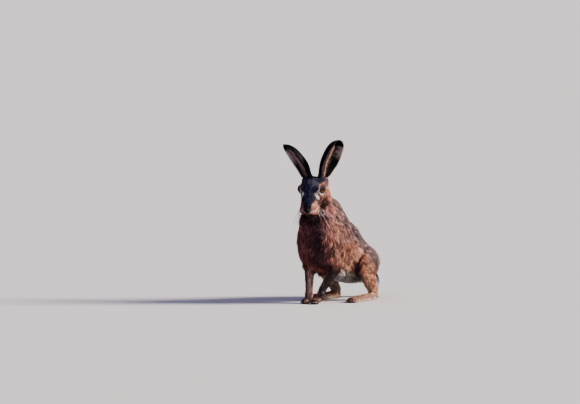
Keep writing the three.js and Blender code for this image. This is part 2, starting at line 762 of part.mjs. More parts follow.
// The torso, less the spaces of all that joins it
function trunk() {
  let solid = tubeOn(trunkFlesh, torso, { rings: 21, sides: 28, limit: 110 });
  for (const each of breastLocks()) solid = solid.add(each);
  solid = solid.subtract(headCell(gap));
  for (const s of [1, -1]) {
    solid = solid.subtract(shoulderCell(s, gap)).subtract(haunchCell(s, gap));
    solid = solid.subtract(forePocket(s)).subtract(hindPocket(s));
  }
  return solid.subtract(tailTube(gap));
}
const torsoSolid = trunk();
const neckPart = () => largest(before(torsoSolid, neckChestCut));
const chestPart = () => largest(before(beyond(torsoSolid, neckChestCut), chestBellyCut));
const bellyPart = () => largest(before(beyond(torsoSolid, chestBellyCut), bellyRumpCut));
const rumpPart = () => largest(beyond(torsoSolid, bellyRumpCut));

// Colours and finishes
const finish = (color, roughness) => new THREE.MeshStandardMaterial({ color, roughness, metalness: 0 });
const grizzledCoat = finish(0x6b4a33, 0.85);
const russetCoat = finish(0x7d4526, 0.85);
const eyeGloss = finish(0x9a4f16, 0.1);
const clawHorn = finish(0x2b221c, 0.45);

const hare = new THREE.Group();
function add(name, solid, material) {
  const mesh = new THREE.Mesh(geometryFrom(solid), material);
  mesh.name = name;
  hare.add(mesh);
}

add("head", headPart(), grizzledCoat);
add("neck", neckPart(), russetCoat);
add("chest", chestPart(), russetCoat);
add("belly", bellyPart(), russetCoat);
add("rump", rumpPart(), grizzledCoat);
add("tail", tailPart(), grizzledCoat);
for (const [side, s] of [["left", 1], ["right", -1]]) {
  add(`eye_${side}`, eyePart(s), eyeGloss);
  add(`ear_${side}`, earPart(s), grizzledCoat);
  add(`upper_arm_${side}`, upperArmPart(s), russetCoat);
  add(`forearm_${side}`, forearmPart(s), russetCoat);
  add(`forepaw_${side}`, forepawPart(s), russetCoat);
  add(`thigh_${side}`, thighPart(s), grizzledCoat);
  add(`shank_${side}`, shankPart(s), russetCoat);
  add(`hind_foot_${side}`, hindFootPart(s), russetCoat);
  foreToes(s).forEach((tip, i) => add(`fore_claw_${side}_${i + 1}`, onFloor(claw(tip)), clawHorn));
  hindToes(s).forEach((tip, i) => add(`hind_claw_${side}_${i + 1}`, onFloor(claw(tip)), clawHorn));
}

// The origin is at the middle of the whole, on the floor.
const box = new THREE.Box3().setFromObject(hare);
hare.position.set(-(box.min.x + box.max.x) / 2, -(box.min.y + box.max.y) / 2, -box.min.z);

export default hare;
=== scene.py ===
import math
import bpy
import numpy as np
from mathutils import Matrix, Vector
from mathutils.bvhtree import BVHTree
from mathutils.kdtree import KDTree


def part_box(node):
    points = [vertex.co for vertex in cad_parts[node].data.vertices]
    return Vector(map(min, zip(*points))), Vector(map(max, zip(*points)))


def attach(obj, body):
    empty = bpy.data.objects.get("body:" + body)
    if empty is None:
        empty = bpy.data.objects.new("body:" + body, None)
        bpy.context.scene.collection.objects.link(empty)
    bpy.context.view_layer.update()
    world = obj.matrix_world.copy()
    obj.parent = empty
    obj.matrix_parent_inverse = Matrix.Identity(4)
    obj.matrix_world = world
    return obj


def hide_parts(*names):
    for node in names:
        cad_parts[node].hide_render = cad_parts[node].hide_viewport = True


# A brown hare sitting up, its ears raised and the coat ruffled on its breast.
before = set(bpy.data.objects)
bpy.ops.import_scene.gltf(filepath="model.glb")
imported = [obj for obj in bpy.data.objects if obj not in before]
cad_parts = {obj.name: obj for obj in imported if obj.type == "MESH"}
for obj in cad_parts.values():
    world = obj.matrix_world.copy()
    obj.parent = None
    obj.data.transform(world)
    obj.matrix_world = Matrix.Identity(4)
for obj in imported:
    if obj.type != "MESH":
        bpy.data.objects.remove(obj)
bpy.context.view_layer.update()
scene = bpy.context.scene
rng = np.random.default_rng(5)
mm = 0.001

# landmarks, in millimetres from the CAD's own source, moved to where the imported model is

headYaw = 18  # degrees, towards the hare's left
headPitch = 38  # degrees, nose down
headTurn = np.array(
    Matrix.Rotation(math.radians(headYaw), 3, "Z") @ Matrix.Rotation(math.radians(headPitch), 3, "X")
)
noseTip = np.array([3.0, -135.5, 248.0])
eyeInHead = np.array([27.0, 64.0, 26.0])


def nodeMiddle(name):
    low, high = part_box(name)
    return np.array((low + high) / 2) / mm


def headPlace(x, y, z):
    return headTurn @ np.array([x, y, z]) + noseTip


shift = nodeMiddle("eye_left") - headPlace(*eyeInHead)
noseTip = noseTip + shift
eyeSpots = {"left": nodeMiddle("eye_left"), "right": nodeMiddle("eye_right")}
sides = {"left": 1, "right": -1}


def smooth(value, low, high):
    t = np.clip((value - low) / (high - low), 0, 1)
    return t * t * (3 - 2 * t)


def unit(vectors):
    return vectors / np.maximum(np.linalg.norm(vectors, axis=-1, keepdims=True), 1e-9)


def squareTo(vectors, axes):
    # the vectors without what lies along the axes
    return vectors - axes * np.einsum("ij,ij->i", vectors, axes)[:, None]


# camera

cameraSetup = {
    "azimuth": 35,  # degrees from straight ahead of the hare, towards its left
    "elevation": 4,
    "distance": 22,  # metres
    "frameWidth": 1.566,  # metres across the picture at the hare
    "lookRight": -0.1219,  # the middle of the picture, from the origin of the landmarks
    "lookUp": 0.2674,
}


def makeCamera():
    s = cameraSetup
    turn = math.radians(s["azimuth"])
    tilt = math.radians(s["elevation"])
    right = Vector((math.cos(turn), math.sin(turn), 0))
    back = Vector((math.sin(turn) * math.cos(tilt), -math.cos(turn) * math.cos(tilt), math.sin(tilt)))
    up = back.cross(right)
    target = right * s["lookRight"] + up * s["lookUp"] + Vector(shift * mm)
    bpy.ops.object.camera_add(location=target + back * s["distance"])
    camera = bpy.context.object
    camera.name = "photoCamera"
    camera.rotation_mode = "QUATERNION"
    camera.rotation_quaternion = (-back).to_track_quat("-Z", "Y")
    camera.data.sensor_width = 36
    camera.data.lens = 36 * s["distance"] / s["frameWidth"]
    camera.data.clip_end = 200
    scene.camera = camera


makeCamera()
print("camera made")

# how the coat grows on each part: depth under the CAD surface, hair length and width (mm),
# tufts to a square centimetre, degrees the hair stands off, share it is drawn into locks
growthKeys = ["depth", "length", "width", "density", "stand", "clump"]
growth = {
    "head": (1.5, 7, 0.85, 100, 13, 0.2),
    "neck": (4.2, 18, 1.3, 62, 12, 0.65),
    "chest": (4.6, 24, 1.35, 64, 13, 0.8),
    "belly": (4.5, 19, 1.7, 44, 13, 0.45),
    "rump": (4.5, 19, 1.7, 38, 13, 0.45),
    "upper_arm": (3.2, 15, 1.5, 54, 14, 0.5),
    "forearm": (1.6, 9, 1.1, 42, 11, 0.3),
    "forepaw": (1.1, 6, 0.9, 62, 11, 0.1),
    "thigh": (4.0, 17, 1.6, 48, 13, 0.45),
    "shank": (2.2, 12, 1.3, 40, 12, 0.3),
    "hind_foot": (1.3, 7, 1.0, 42, 11, 0.1),
    "tail": (4.0, 22, 1.7, 56, 17, 0.3),
    "ear": (0.5, 4.6, 0.65, 56, 7, 0.1),
}

# which way the hair lies on each part, tip away from root
lieOf = {
    "neck": (0, 0.45, -0.9),
    "chest": (0, 0.12, -1),
    "belly": (0, 0.75, -0.66),
    "rump": (0, 0.62, -0.78),
    "upper_arm": (0, 0.1, -1),
    "forearm": (0, -0.42, -0.9),
    "forepaw": (0, -0.9, -0.42),
    "thigh": (0, 0.5, -0.86),
    "shank": (0, 0.45, -0.9),
    "hind_foot": (0, -1, -0.1),
    "tail": (0, 0.12, -1),
}


def partOf(nodeName):
    return nodeName.replace("_left", "").replace("_right", "")


fleshNodes = [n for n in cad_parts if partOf(n) in growth and partOf(n) != "ear"]
earNodes = ["ear_left", "ear_right"]

# skin


def selectOnly(*objects):
    bpy.ops.object.select_all(action="DESELECT")
    for o in objects:
        o.select_set(True)
    bpy.context.view_layer.objects.active = objects[0]


def applyAll(piece):
    selectOnly(piece)
    for m in list(piece.modifiers):
        bpy.ops.object.modifier_apply(modifier=m.name)


def editAll(piece, operator, **settings):
    selectOnly(piece)
    bpy.ops.object.mode_set(mode="EDIT")
    bpy.ops.mesh.select_all(action="SELECT")
    operator(**settings)
    bpy.ops.object.mode_set(mode="OBJECT")


def copyOf(nodeName):
    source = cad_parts[nodeName]
    piece = bpy.data.objects.new(nodeName + "Copy", source.data.copy())
    scene.collection.objects.link(piece)
    piece.data.materials.clear()
    editAll(piece, bpy.ops.mesh.remove_doubles, threshold=0.00002)
    return piece


def readAll(items, key, width, kind):
    flat = np.empty(len(items) * width, kind)
    items.foreach_get(key, flat)
    return flat.reshape(-1, width)


def pointsOf(piece):
    return readAll(piece.data.vertices, "co", 3, np.float32).astype(float) / mm


def normalsOf(piece):
    return readAll(piece.data.vertices, "normal", 3, np.float32).astype(float)


def edgesOf(piece):
    return readAll(piece.data.edges, "vertices", 2, np.int32)


def trianglesOf(piece):
    piece.data.calc_loop_triangles()
    return readAll(piece.data.loop_triangles, "vertices", 3, np.int32)


def movePoints(piece, points):
    piece.data.vertices.foreach_set("co", (points * mm).astype(np.float32).ravel())
    piece.data.update()


def partsAt(points):
    # for each point, the part of the body whose CAD surface is nearest
    corners, faces, owner = [], [], []
    for name in fleshNodes:
        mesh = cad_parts[name].data
        start = len(corners)
        corners += [v.co[:] for v in mesh.vertices]
        for p in mesh.polygons:
            faces.append([start + v for v in p.vertices])
            owner.append(partOf(name))
    tree = BVHTree.FromPolygons(corners, faces)
    return np.array([owner[tree.find_nearest(p)[2]] for p in (points * mm).tolist()])


def spread(values, edges, rounds):
    # each vertex takes the mean of its neighbours, over and over
    a, b = edges.T
    count = np.bincount(edges.ravel(), minlength=len(values)).astype(float)
    count = np.maximum(count, 1)[:, None]
    for _ in range(rounds):
        total = np.zeros_like(values)
        np.add.at(total, a, values[b])
        np.add.at(total, b, values[a])
        values = 0.4 * values + 0.6 * total / count
    return values


# the torso under the locks that the CAD models on the breast: lines of x, y, z, half width and
# half depth, and how softly each line joins the ones before it
coreLines = [
    ([(-5, -68, 298, 28, 31), (-6, -61, 268, 32, 37), (-4, -48, 236, 47, 61), (0, -44, 200, 57, 75),
      (0, -24, 166, 61, 82), (0, 16, 142, 62, 80), (0, 62, 115, 57, 61)], 0),
    ([(-2, -98, 216, 38, 28), (0, -96, 178, 50, 34), (0, -88, 142, 48, 36), (0, -72, 116, 36, 28)], 24),
    ([(38, -66, 176, 18, 34), (42, -72, 142, 18, 29), (43, -64, 108, 15.5, 21)], 16),
    ([(-38, -66, 176, 18, 34), (-42, -72, 142, 18, 29), (-43, -64, 108, 15.5, 21)], 16),
]


def curveThrough(stations):
    rows = np.array(stations, float)
    padded = np.vstack([2 * rows[0] - rows[1], rows, 2 * rows[-1] - rows[-2]])
    made = []
    for i in range(len(rows) - 1):
        a, b, c, d = padded[i:i + 4]
        for t in (0, 0.25, 0.5, 0.75):
            bend = (2 * a - 5 * b + 4 * c - d) * t ** 2 + (3 * b - a - 3 * c + d) * t ** 3
            made.append(b + 0.5 * ((c - a) * t + bend))
    return np.array(made + [rows[-1]])


def lineDistance(points, stations):
    nearest = np.full(len(points), 1e9)
    rows = curveThrough(stations)
    for a, b in zip(rows[:-1], rows[1:]):
        step = (b - a)[:3]
        t = np.clip((points - a[:3]) @ step / step.dot(step), 0, 1)[:, None]
        along = unit(step)
        side = unit(np.array([1.0, 0, 0]) - along * along[0])
        offset = points - a[:3] - t * step
        width, depth = (a[3:] + t * (b - a)[3:]).T
        shares = [offset @ side / width, offset @ np.cross(along, side) / depth]
        shares.append(offset @ along / np.minimum(width, depth))
        ratio = np.maximum(np.linalg.norm(shares, axis=0), 1e-6)
        nearest = np.minimum(nearest, np.linalg.norm(offset, axis=1) * (1 - 1 / ratio))
    return nearest


def coreDistance(points):
    total = lineDistance(points, coreLines[0][0])
    for stations, soft in coreLines[1:]:
        other = lineDistance(points, stations)
        near = np.maximum(soft - np.abs(total - other), 0) / soft
        total = np.minimum(total, other) - near ** 2 * soft / 4
    return total


lockArea = {
    "ahead": (78, 94),  # degrees from straight ahead where the locks end
    "top": (259, 268),  # and the height, mm
    "middle": (-4, -50),  # what the degrees are counted round
    "rounds": 6,
}


def layLocks(piece):
    # presses the modelled locks flat onto the torso, because the coat makes them anew
    points = pointsOf(piece) - shift
    x, y = (points[:, :2] - lockArea["middle"]).T
    ahead = np.degrees(np.arctan2(np.abs(x), -y))
    share = (1 - smooth(ahead, *lockArea["ahead"])) * (1 - smooth(points[:, 2], *lockArea["top"]))
    wanted = coreDistance(points) * (1 - share)
    for _ in range(lockArea["rounds"]):
        distance = coreDistance(points)
        outwards = np.stack([coreDistance(points + axis) - distance for axis in np.eye(3)], 1)
        points -= unit(outwards) * np.maximum(distance - np.maximum(wanted, 0), 0)[:, None]
    movePoints(piece, points + shift)


skinSetup = {
    "voxel": 0.0015,
    "swell": 0.0007,  # closes the thin cuts between the CAD parts
    "smoothing": {"soft": 26, "breast": 40},  # rounds
    "triangles": 90000,
}


def addWeights(piece, name, values):
    group = piece.vertex_groups.new(name=name)
    levels = np.round(values, 2)
    for level in np.unique(levels):
        if level > 0:
            group.add(np.nonzero(levels == level)[0].tolist(), float(level), "REPLACE")


def makeSkin():
    copies = [copyOf(n) for n in fleshNodes]
    for piece in copies:
        if piece.name in ("chestCopy", "neckCopy"):
            layLocks(piece)
    selectOnly(*copies)
    bpy.ops.object.join()
    skin = bpy.context.object
    skin.name = skin.data.name = "skin"
    swell = skin.modifiers.new("swell", "DISPLACE")
    swell.strength = skinSetup["swell"]
    swell.mid_level = 0
    remesh = skin.modifiers.new("remesh", "REMESH")
    remesh.mode = "VOXEL"
    remesh.voxel_size = skinSetup["voxel"]
    applyAll(skin)
    part = partsAt(pointsOf(skin))
    # the head and feet keep their shape, and the facets and locks of the torso are smoothed away
    soft = np.where(part == "head", 0.25, np.where(np.isin(part, ["forepaw", "hind_foot"]), 0.3, 1.0))
    soft = spread(soft[:, None], edgesOf(skin), 8)[:, 0]
    addWeights(skin, "soft", soft)
    onBreast = np.isin(part, ["chest", "neck"]).astype(float)[:, None]
    addWeights(skin, "breast", spread(onBreast, edgesOf(skin), 8)[:, 0])
    for group, rounds in skinSetup["smoothing"].items():
        m = skin.modifiers.new(group, "SMOOTH")
        m.factor = 0.5
        m.iterations = rounds
        m.vertex_group = group
    thin = skin.modifiers.new("thin", "DECIMATE")
    thin.ratio = min(1, skinSetup["triangles"] / (2 * len(skin.data.polygons)))
    thin.vertex_group = "soft"
    thin.vertex_group_factor = 0.6
    applyAll(skin)
    skin.vertex_groups.clear()
    return skin


skin = makeSkin()
print("skin made,", len(skin.data.polygons), "faces")


def growthAt(part, edges):
    return spread(np.array([growth[name] for name in part]), edges, 14)


def headFrame(points):
    return (points - noseTip) @ headTurn


# on the left half of the head, in its own frame: x outwards, y back from the nose, z up
eyeLook = np.array([0.93, -0.3, 0.16])
faceLines = {
    "nostril": [(1.5, -2, 2.5), (5.5, 1, 6), (9.5, 9.5, 10)],
    "mouth": [(0, -2, 1), (0, -1.5, -6), (4, 0, -9), (10, 6, -13), (15, 18, -15)],
    "cheekStripe": [(27, 45, 10), (28, 50, -3), (27, 52, -14)],
    "wedge": [(19, 43, 26), (22, 41, 21), (24, 37.5, 14)],  # pale, before the eye
    "wedgeTop": [(23, 43, 23), (25.5, 50, 32)],
    "underWedge": [(13, 33, 25), (20.5, 32, 16.5), (25.5, 35, 8)],
    "chinRim": [(0, 5, -19), (9, 6, -17.5), (17, 8, -14), (23.5, 16, -9), (24, 26, -8)],
}
faceSpots = {"brow": (27.5, 66, 40), "behindEye": (37.5, 66, 9)}


def fromLine(points, corners):
    # distance to a broken line
    nearest = np.full(len(points), 1e9)
    for a, b in zip(corners[:-1], corners[1:]):
        a, b = np.array(a, float), np.array(b, float)
        t = np.clip((points - a) @ (b - a) / (b - a).dot(b - a), 0, 1)
        nearest = np.minimum(nearest, np.linalg.norm(points - a - t[:, None] * (b - a), axis=1))
    return nearest


def fromFaceLine(h, name):
    return fromLine(np.column_stack([np.abs(h[:, 0]), h[:, 1:]]), faceLines[name])


def shapeSkin():
    # sinks the skin under the coat, and keeps the soles on the floor
    points = pointsOf(skin)
    normals = normalsOf(skin)
    part = partsAt(points)
    depth = growthAt(part, edgesOf(skin))[:, growthKeys.index("depth")]
    h = headFrame(points)
    isHead = part == "head"
    muzzle = isHead * (1 - smooth(h[:, 1], 20, 60))
    chin = isHead * (1 - smooth(h[:, 1], 26, 50)) * smooth(-h[:, 2], 4, 12)
    depth = depth * (1 - 0.5 * muzzle) * (1 - chin) + skinSetup["swell"] * 1000 - 0.6 * chin
    for name in sides:
        near = np.linalg.norm(points - eyeSpots[name], axis=1)
        depth *= 0.35 + 0.65 * smooth(near, 13, 22)
    depth *= 0.25 + 0.75 * smooth(points[:, 2], 0, 6)  # the soles stay on the floor
    depth += isHead * 1.6 * (1 - smooth(fromFaceLine(h, "nostril"), 0.6, 2.2))
    depth += isHead * 1.2 * (1 - smooth(fromFaceLine(h, "mouth"), 0.5, 1.8))
    points = points - normals * depth[:, None]
    points[:, 2] = np.maximum(points[:, 2], 0.4)
    movePoints(skin, points)


shapeSkin()

# ears: the CAD's rolled leaf, made smooth and sunk into the head

earShape = {
    "front": 44,  # mm from the middle line to the front margin, along the roll
    "back": 49,
    "bow": 21,  # how far the cup is sunk behind its opening
    "left": dict(root=22, lean=10, turn=59, widest=0.58, bluntness=0.57, tip=(40, 31, 105)),
    "right": dict(root=-13, lean=15, turn=-43, widest=0.46, bluntness=0.66, tip=(-64, -26, 92)),
}


def earGrid(side):
    # points over one ear, each with its outward direction, its (along, across) coordinates and
    # the directions along and across the ear
    s = sides[side]
    own = earShape[side]
    root0 = headPlace(own["root"], 96, 33)
    root = root0 - 4 * unit(headTurn @ np.array([0, 0.1, 1.0]))
    tip = root0 + np.array(own["tip"], float)
    middle = root * 0.55 + tip * 0.45 + 3 * unit(headTurn @ np.array([s * 0.2, 1.0, 0]))
    facing = math.radians(headYaw + own["turn"])
    places, outs, coords, alongs, acrosses = [], [], [], [], []
    for t in np.linspace(0, 1, 46):
        if t < own["widest"]:
            share = 0.5 + 0.5 * math.sin(t / own["widest"] * math.pi / 2) ** 1.2
        else:
            beyond = (t - own["widest"]) / (1 - own["widest"])
            share = max(0.1, (1 - min(beyond, 1) ** 3) ** own["bluntness"])
        centre = (1 - t) * (1 - 2 * t) * root + 4 * t * (1 - t) * middle + t * (2 * t - 1) * tip
        along = unit((4 * t - 3) * root + (4 - 8 * t) * middle + (4 * t - 1) * tip)
        opening = np.array([math.sin(facing), -math.cos(facing), 0])
        opening = unit(opening - along * opening.dot(along))
        back = np.array([math.cos(facing), math.sin(facing), 0]) * s
        back = unit(back - along * back.dot(along))
        centre = centre - opening * earShape["bow"] * share - back * own["lean"] * share
        rolled = 2.7 - 1.7 * float(smooth(np.array(t), 0, 0.34))
        for u in np.linspace(-1, 1, 31):
            length = (earShape["front"] if u < 0 else earShape["back"]) * share
            bend = 2.1 * (1 + (rolled - 1) * 0.3) if u < 0 else 0.85 * rolled
            radius = length / bend
            angle = bend * u
            inwards = opening * radius * (1 - math.cos(angle))
            places.append(centre + back * radius * math.sin(angle) + inwards)
            outs.append(back * math.sin(angle) - opening * math.cos(angle))
            coords.append((t, u))
            alongs.append(along)
            acrosses.append((back * math.cos(angle) + opening * math.sin(angle)) * np.sign(u))
    return [np.array(v) for v in (places, outs, coords, alongs, acrosses)]


def nearTree(points):
    tree = KDTree(len(points))
    for i, p in enumerate(points.tolist()):
        tree.insert(p, i)
    tree.balance()
    return tree


earGrids = {side: earGrid(side) for side in sides}
earTrees = {side: nearTree(earGrids[side][0]) for side in sides}


def earCoords(points, normals, side):
    index = np.array([earTrees[side].find(p)[1] for p in points.tolist()])
    _, outs, coords, alongs, acrosses = earGrids[side]
    outer = np.einsum("ij,ij->i", normals, outs[index])
    return coords[index, 0], coords[index, 1], outer, alongs[index], acrosses[index]


def makeEar(side):
    ear = copyOf("ear_" + side)
    ear.name = ear.data.name = "earSkin" + side.capitalize()
    editAll(ear, bpy.ops.mesh.tris_convert_to_quads)
    m = ear.modifiers.new("round", "SUBSURF")
    m.levels = m.render_levels = 2
    applyAll(ear)
    points = pointsOf(ear)
    root = earGrids[side][0][:31].mean(0)  # the first row of the grid
    along = earGrids[side][3][0]
    height = (points - root) @ along
    points -= along * (6 * (1 - smooth(height, 0, 16)))[:, None]  # the root goes down into the skin
    movePoints(ear, points)
    return ear


ears = {side: makeEar(side) for side in sides}
print("ears made")

# markings: one set of rules for the colour of skin and coat, from landmarks on the body


def hexColour(text):
    c = np.array([int(text[i:i + 2], 16) / 255 for i in (0, 2, 4)])
    return np.where(c <= 0.04045, c / 12.92, ((c + 0.055) / 1.055) ** 2.4)


palette = {
    "grizzle": "654a46", "darkBack": "2a1e23", "flank": "bc7f66", "belly": "efdccf",
    # crown is dark with a blue tint; the tint is a painted sky reflection on dark hair
    "breast": "8a554c", "deepBreast": "3a1a1c", "neck": "a97766", "crown": "35394b", "cheek": "b57a60",
    "cheekDark": "2a181b", "muzzle": "b37f6b", "pale": "ead9c6", "lip": "d9bfb4", "brow": "c8692c",
    "noseDark": "1a1720", "earDark": "0b0a0f", "earTip": "070709", "earStripe": "9c7f74",
    "earPale": "b3a49f", "earInside": "040406", "fringe": "efe4d6", "foreleg": "2e1a19",
    "tawny": "edb393", "foot": "a5795c", "haunch": "d98b69", "tailBlack": "171312",
    "tailWhite": "ece7de", "black": "100c0c", "tick": "dcaeaa",
}
palette = {name: hexColour(text) for name, text in palette.items()}


def lay(colour, name, share):
    # lays a colour of the palette over the ones that are there
    colour += (palette[name] - colour) * np.clip(share, 0, 1)[:, None]


def layNear(colour, name, distance, core, edge, strength):
    # full up to the core, and none from the edge on
    lay(colour, name, (1 - smooth(distance, core, edge)) * strength)


def mottle(points, size, seed):
    # uneven from place to place, about -1 to 1, with patches of about `size` mm
    waves = np.random.default_rng(seed)
    total = np.zeros(len(points))
    for _ in range(7):
        direction = waves.normal(0, 1, 3)
        direction *= 2 * math.pi / size * waves.uniform(0.6, 1.5) / np.linalg.norm(direction)
        total += np.sin(points @ direction + waves.uniform(0, 2 * math.pi))
    return total / 3.2


# the pale ring round the eye, by angle: 0 towards the nose, 90 up, 180 towards the ear
ringAngles = [0, 30, 60, 90, 120, 150, 180, 210, 240, 270, 300, 330, 360]
ringMiddle = [13.4, 13.4, 15, 18, 19.2, 17.8, 15.6, 14.6, 13.6, 13.0, 13.0, 13.2, 13.4]
ringHalf = [1.8, 1.2, 0.9, 0.8, 1.1, 0.9, 0.8, 0.8, 0.9, 1.2, 1.5, 1.7, 1.8]
ringStrength = [0.95, 0.5, 0.06, 0.05, 0.2, 0.1, 0.08, 0.04, 0.1, 0.7, 0.95, 0.95, 0.95]

# half the width of the dark bridge and crown, by the distance back from the nose
crownHalf = ([0, 10, 20, 34, 44, 52, 66, 80, 100], [7.5, 9.5, 12.5, 18.5, 21.5, 24, 27, 30, 33])


def eyeFrame(s):
    # rows: towards the nose, up, and the way the eye looks, in the head's own frame
    look = unit(eyeLook * [s, 1, 1])
    up = unit(np.array([0, 0.25, 1.0]) - look * look.dot([0, 0.25, 1.0]))
    toNose = np.cross(up, look) * s
    if toNose[1] > 0:
        toNose = -toNose
    return np.array([toNose, up, look])


def faceColours(h, hn, s):
    # one side of the face: places and normals in the head's frame, mirrored to the left
    x, y, z = h.T
    hair = mottle(h, 9, 3)
    face = np.tile(palette["cheek"], (len(h), 1))
    lay(face, "cheekDark", 0.1 + 0.6 * smooth(hair + 0.7 * mottle(h, 4, 5), -0.1, 0.9))
    jaw = (1 - smooth(z, -24, -15)) * smooth(y, 26, 40) * (1 - smooth(y, 50, 70))
    lay(face, "pale", jaw * 0.6)
    # dark behind the muzzle and under the eye, tan on the muzzle itself
    lay(face, "cheekDark", (1 - smooth(y + 3 * hair, 42, 56)) * 0.9)
    layNear(face, "cheekDark", fromFaceLine(h, "cheekStripe") + 1.5 * hair, 4, 10, 0.8)
    flecks = smooth(mottle(h, 3.4, 7), 0.45, 0.9) * smooth(y, 34, 44)
    lay(face, "brow", flecks * 0.45)
    tan = (1 - smooth(y + 3 * hair, 22, 32)) * (1 - smooth(z, 12, 17))
    # the tan is weaker on the right side of the face: painted shade on the side turned from the key light
    lay(face, "muzzle", tan * (0.95 - 0.3 * smooth(hair, 0.2, 1)) * (1 if s > 0 else 0.6))
    # dark bridge and crown, widening from the nose to the ears
    half = np.interp(y, *crownHalf)
    top = (1 - smooth(x + 1.2 * hair, half - 1.5, half + 2.5)) * smooth(z, 2, 8)
    # the crown colour is dark, with a blue tint that is a painted sky reflection on the dark hair
    lay(face, "crown", top * 0.97)
    lay(face, "crown", smooth(y, 74, 86) * smooth(z + 3 * hair, 14, 26) * 0.75)
    lay(face, "grizzle", smooth(y, 104, 124) * 0.6)
    # pale wedge before the eye, with a dark line under it
    wedge = np.minimum(fromFaceLine(h, "wedge"), fromFaceLine(h, "wedgeTop") + 2)
    layNear(face, "lip", wedge, 3.4, 6.0, 0.95)
    layNear(face, "noseDark", fromFaceLine(h, "underWedge"), 1.4, 3.2, 0.9)
    # eye ring
    own = (h - eyeInHead) @ eyeFrame(1).T
    angle = np.degrees(np.arctan2(own[:, 1], own[:, 0])) % 360
    aside = np.hypot(own[:, 0], own[:, 1]) + 0.8 * np.maximum(3.5 - own[:, 2], 0)
    ring = np.abs(aside - np.interp(angle, ringAngles, ringMiddle)) / np.interp(angle, ringAngles, ringHalf)
    near = 1 - smooth(-own[:, 2], 6, 12)
    clear = np.interp(angle, ringAngles, ringStrength) * (1 if s > 0 else 0.55)  # plainer on the right
    lay(face, "crown", (1 - smooth(aside, 13, 18)) * near * 0.9)
    lay(face, "pale", (1 - smooth(ring, 0.6, 1.3)) * near * clear)
    layNear(face, "brow", np.linalg.norm(h - faceSpots["brow"], axis=1), 2.8, 5.4, 0.95)
    layNear(face, "crown", np.linalg.norm(h - faceSpots["behindEye"], axis=1), 2.6, 5.4, 0.95)
    lay(face, "black", (1 - smooth(aside, 10.8, 12.2)) * near)
    # nostril, lips, mouth and chin
    nose = np.hypot(np.maximum(x - 6, 0), np.maximum(y - 7, 0) * 0.6) + (z < -3) * 9
    layNear(face, "noseDark", nose, 1.5, 5, 0.85)
    layNear(face, "black", fromFaceLine(h, "nostril"), 0.9, 2.2, 0.97)
    lip = np.abs(z + 2.5) + smooth(y, 6, 12) * 8 + smooth(-x, -4, -1) * 8
    layNear(face, "lip", lip, 1.6, 3.4, 0.65)
    layNear(face, "black", fromFaceLine(h, "mouth"), 0.8, 2.0, 0.92)
    chin = smooth(-z, 8.5, 11) * (1 - smooth(y, 14, 24)) * (1 - smooth(x, 8, 14))
    lay(face, "noseDark", chin * 0.95)
    lay(face, "cheekDark", smooth(-z, 17, 20) * (1 - smooth(y, 18, 30)) * 0.9)
    layNear(face, "pale", fromFaceLine(h, "chinRim"), 1.6, 3.8, 0.9)
    lay(face, "neck", (1 - smooth(hn[:, 2], 0.3, 0.9)) * smooth(y, 92, 112))
    ticked = np.where(y < 26, 0.25, 0.35) * (1 - 0.4 * top)
    return face, ticked


elbowSpot = np.array([58, -52, 118])
haunchFold = [(60, 16, 100), (55, 25, 80), (43, 41, 62)]  # deep shade where belly and haunch meet


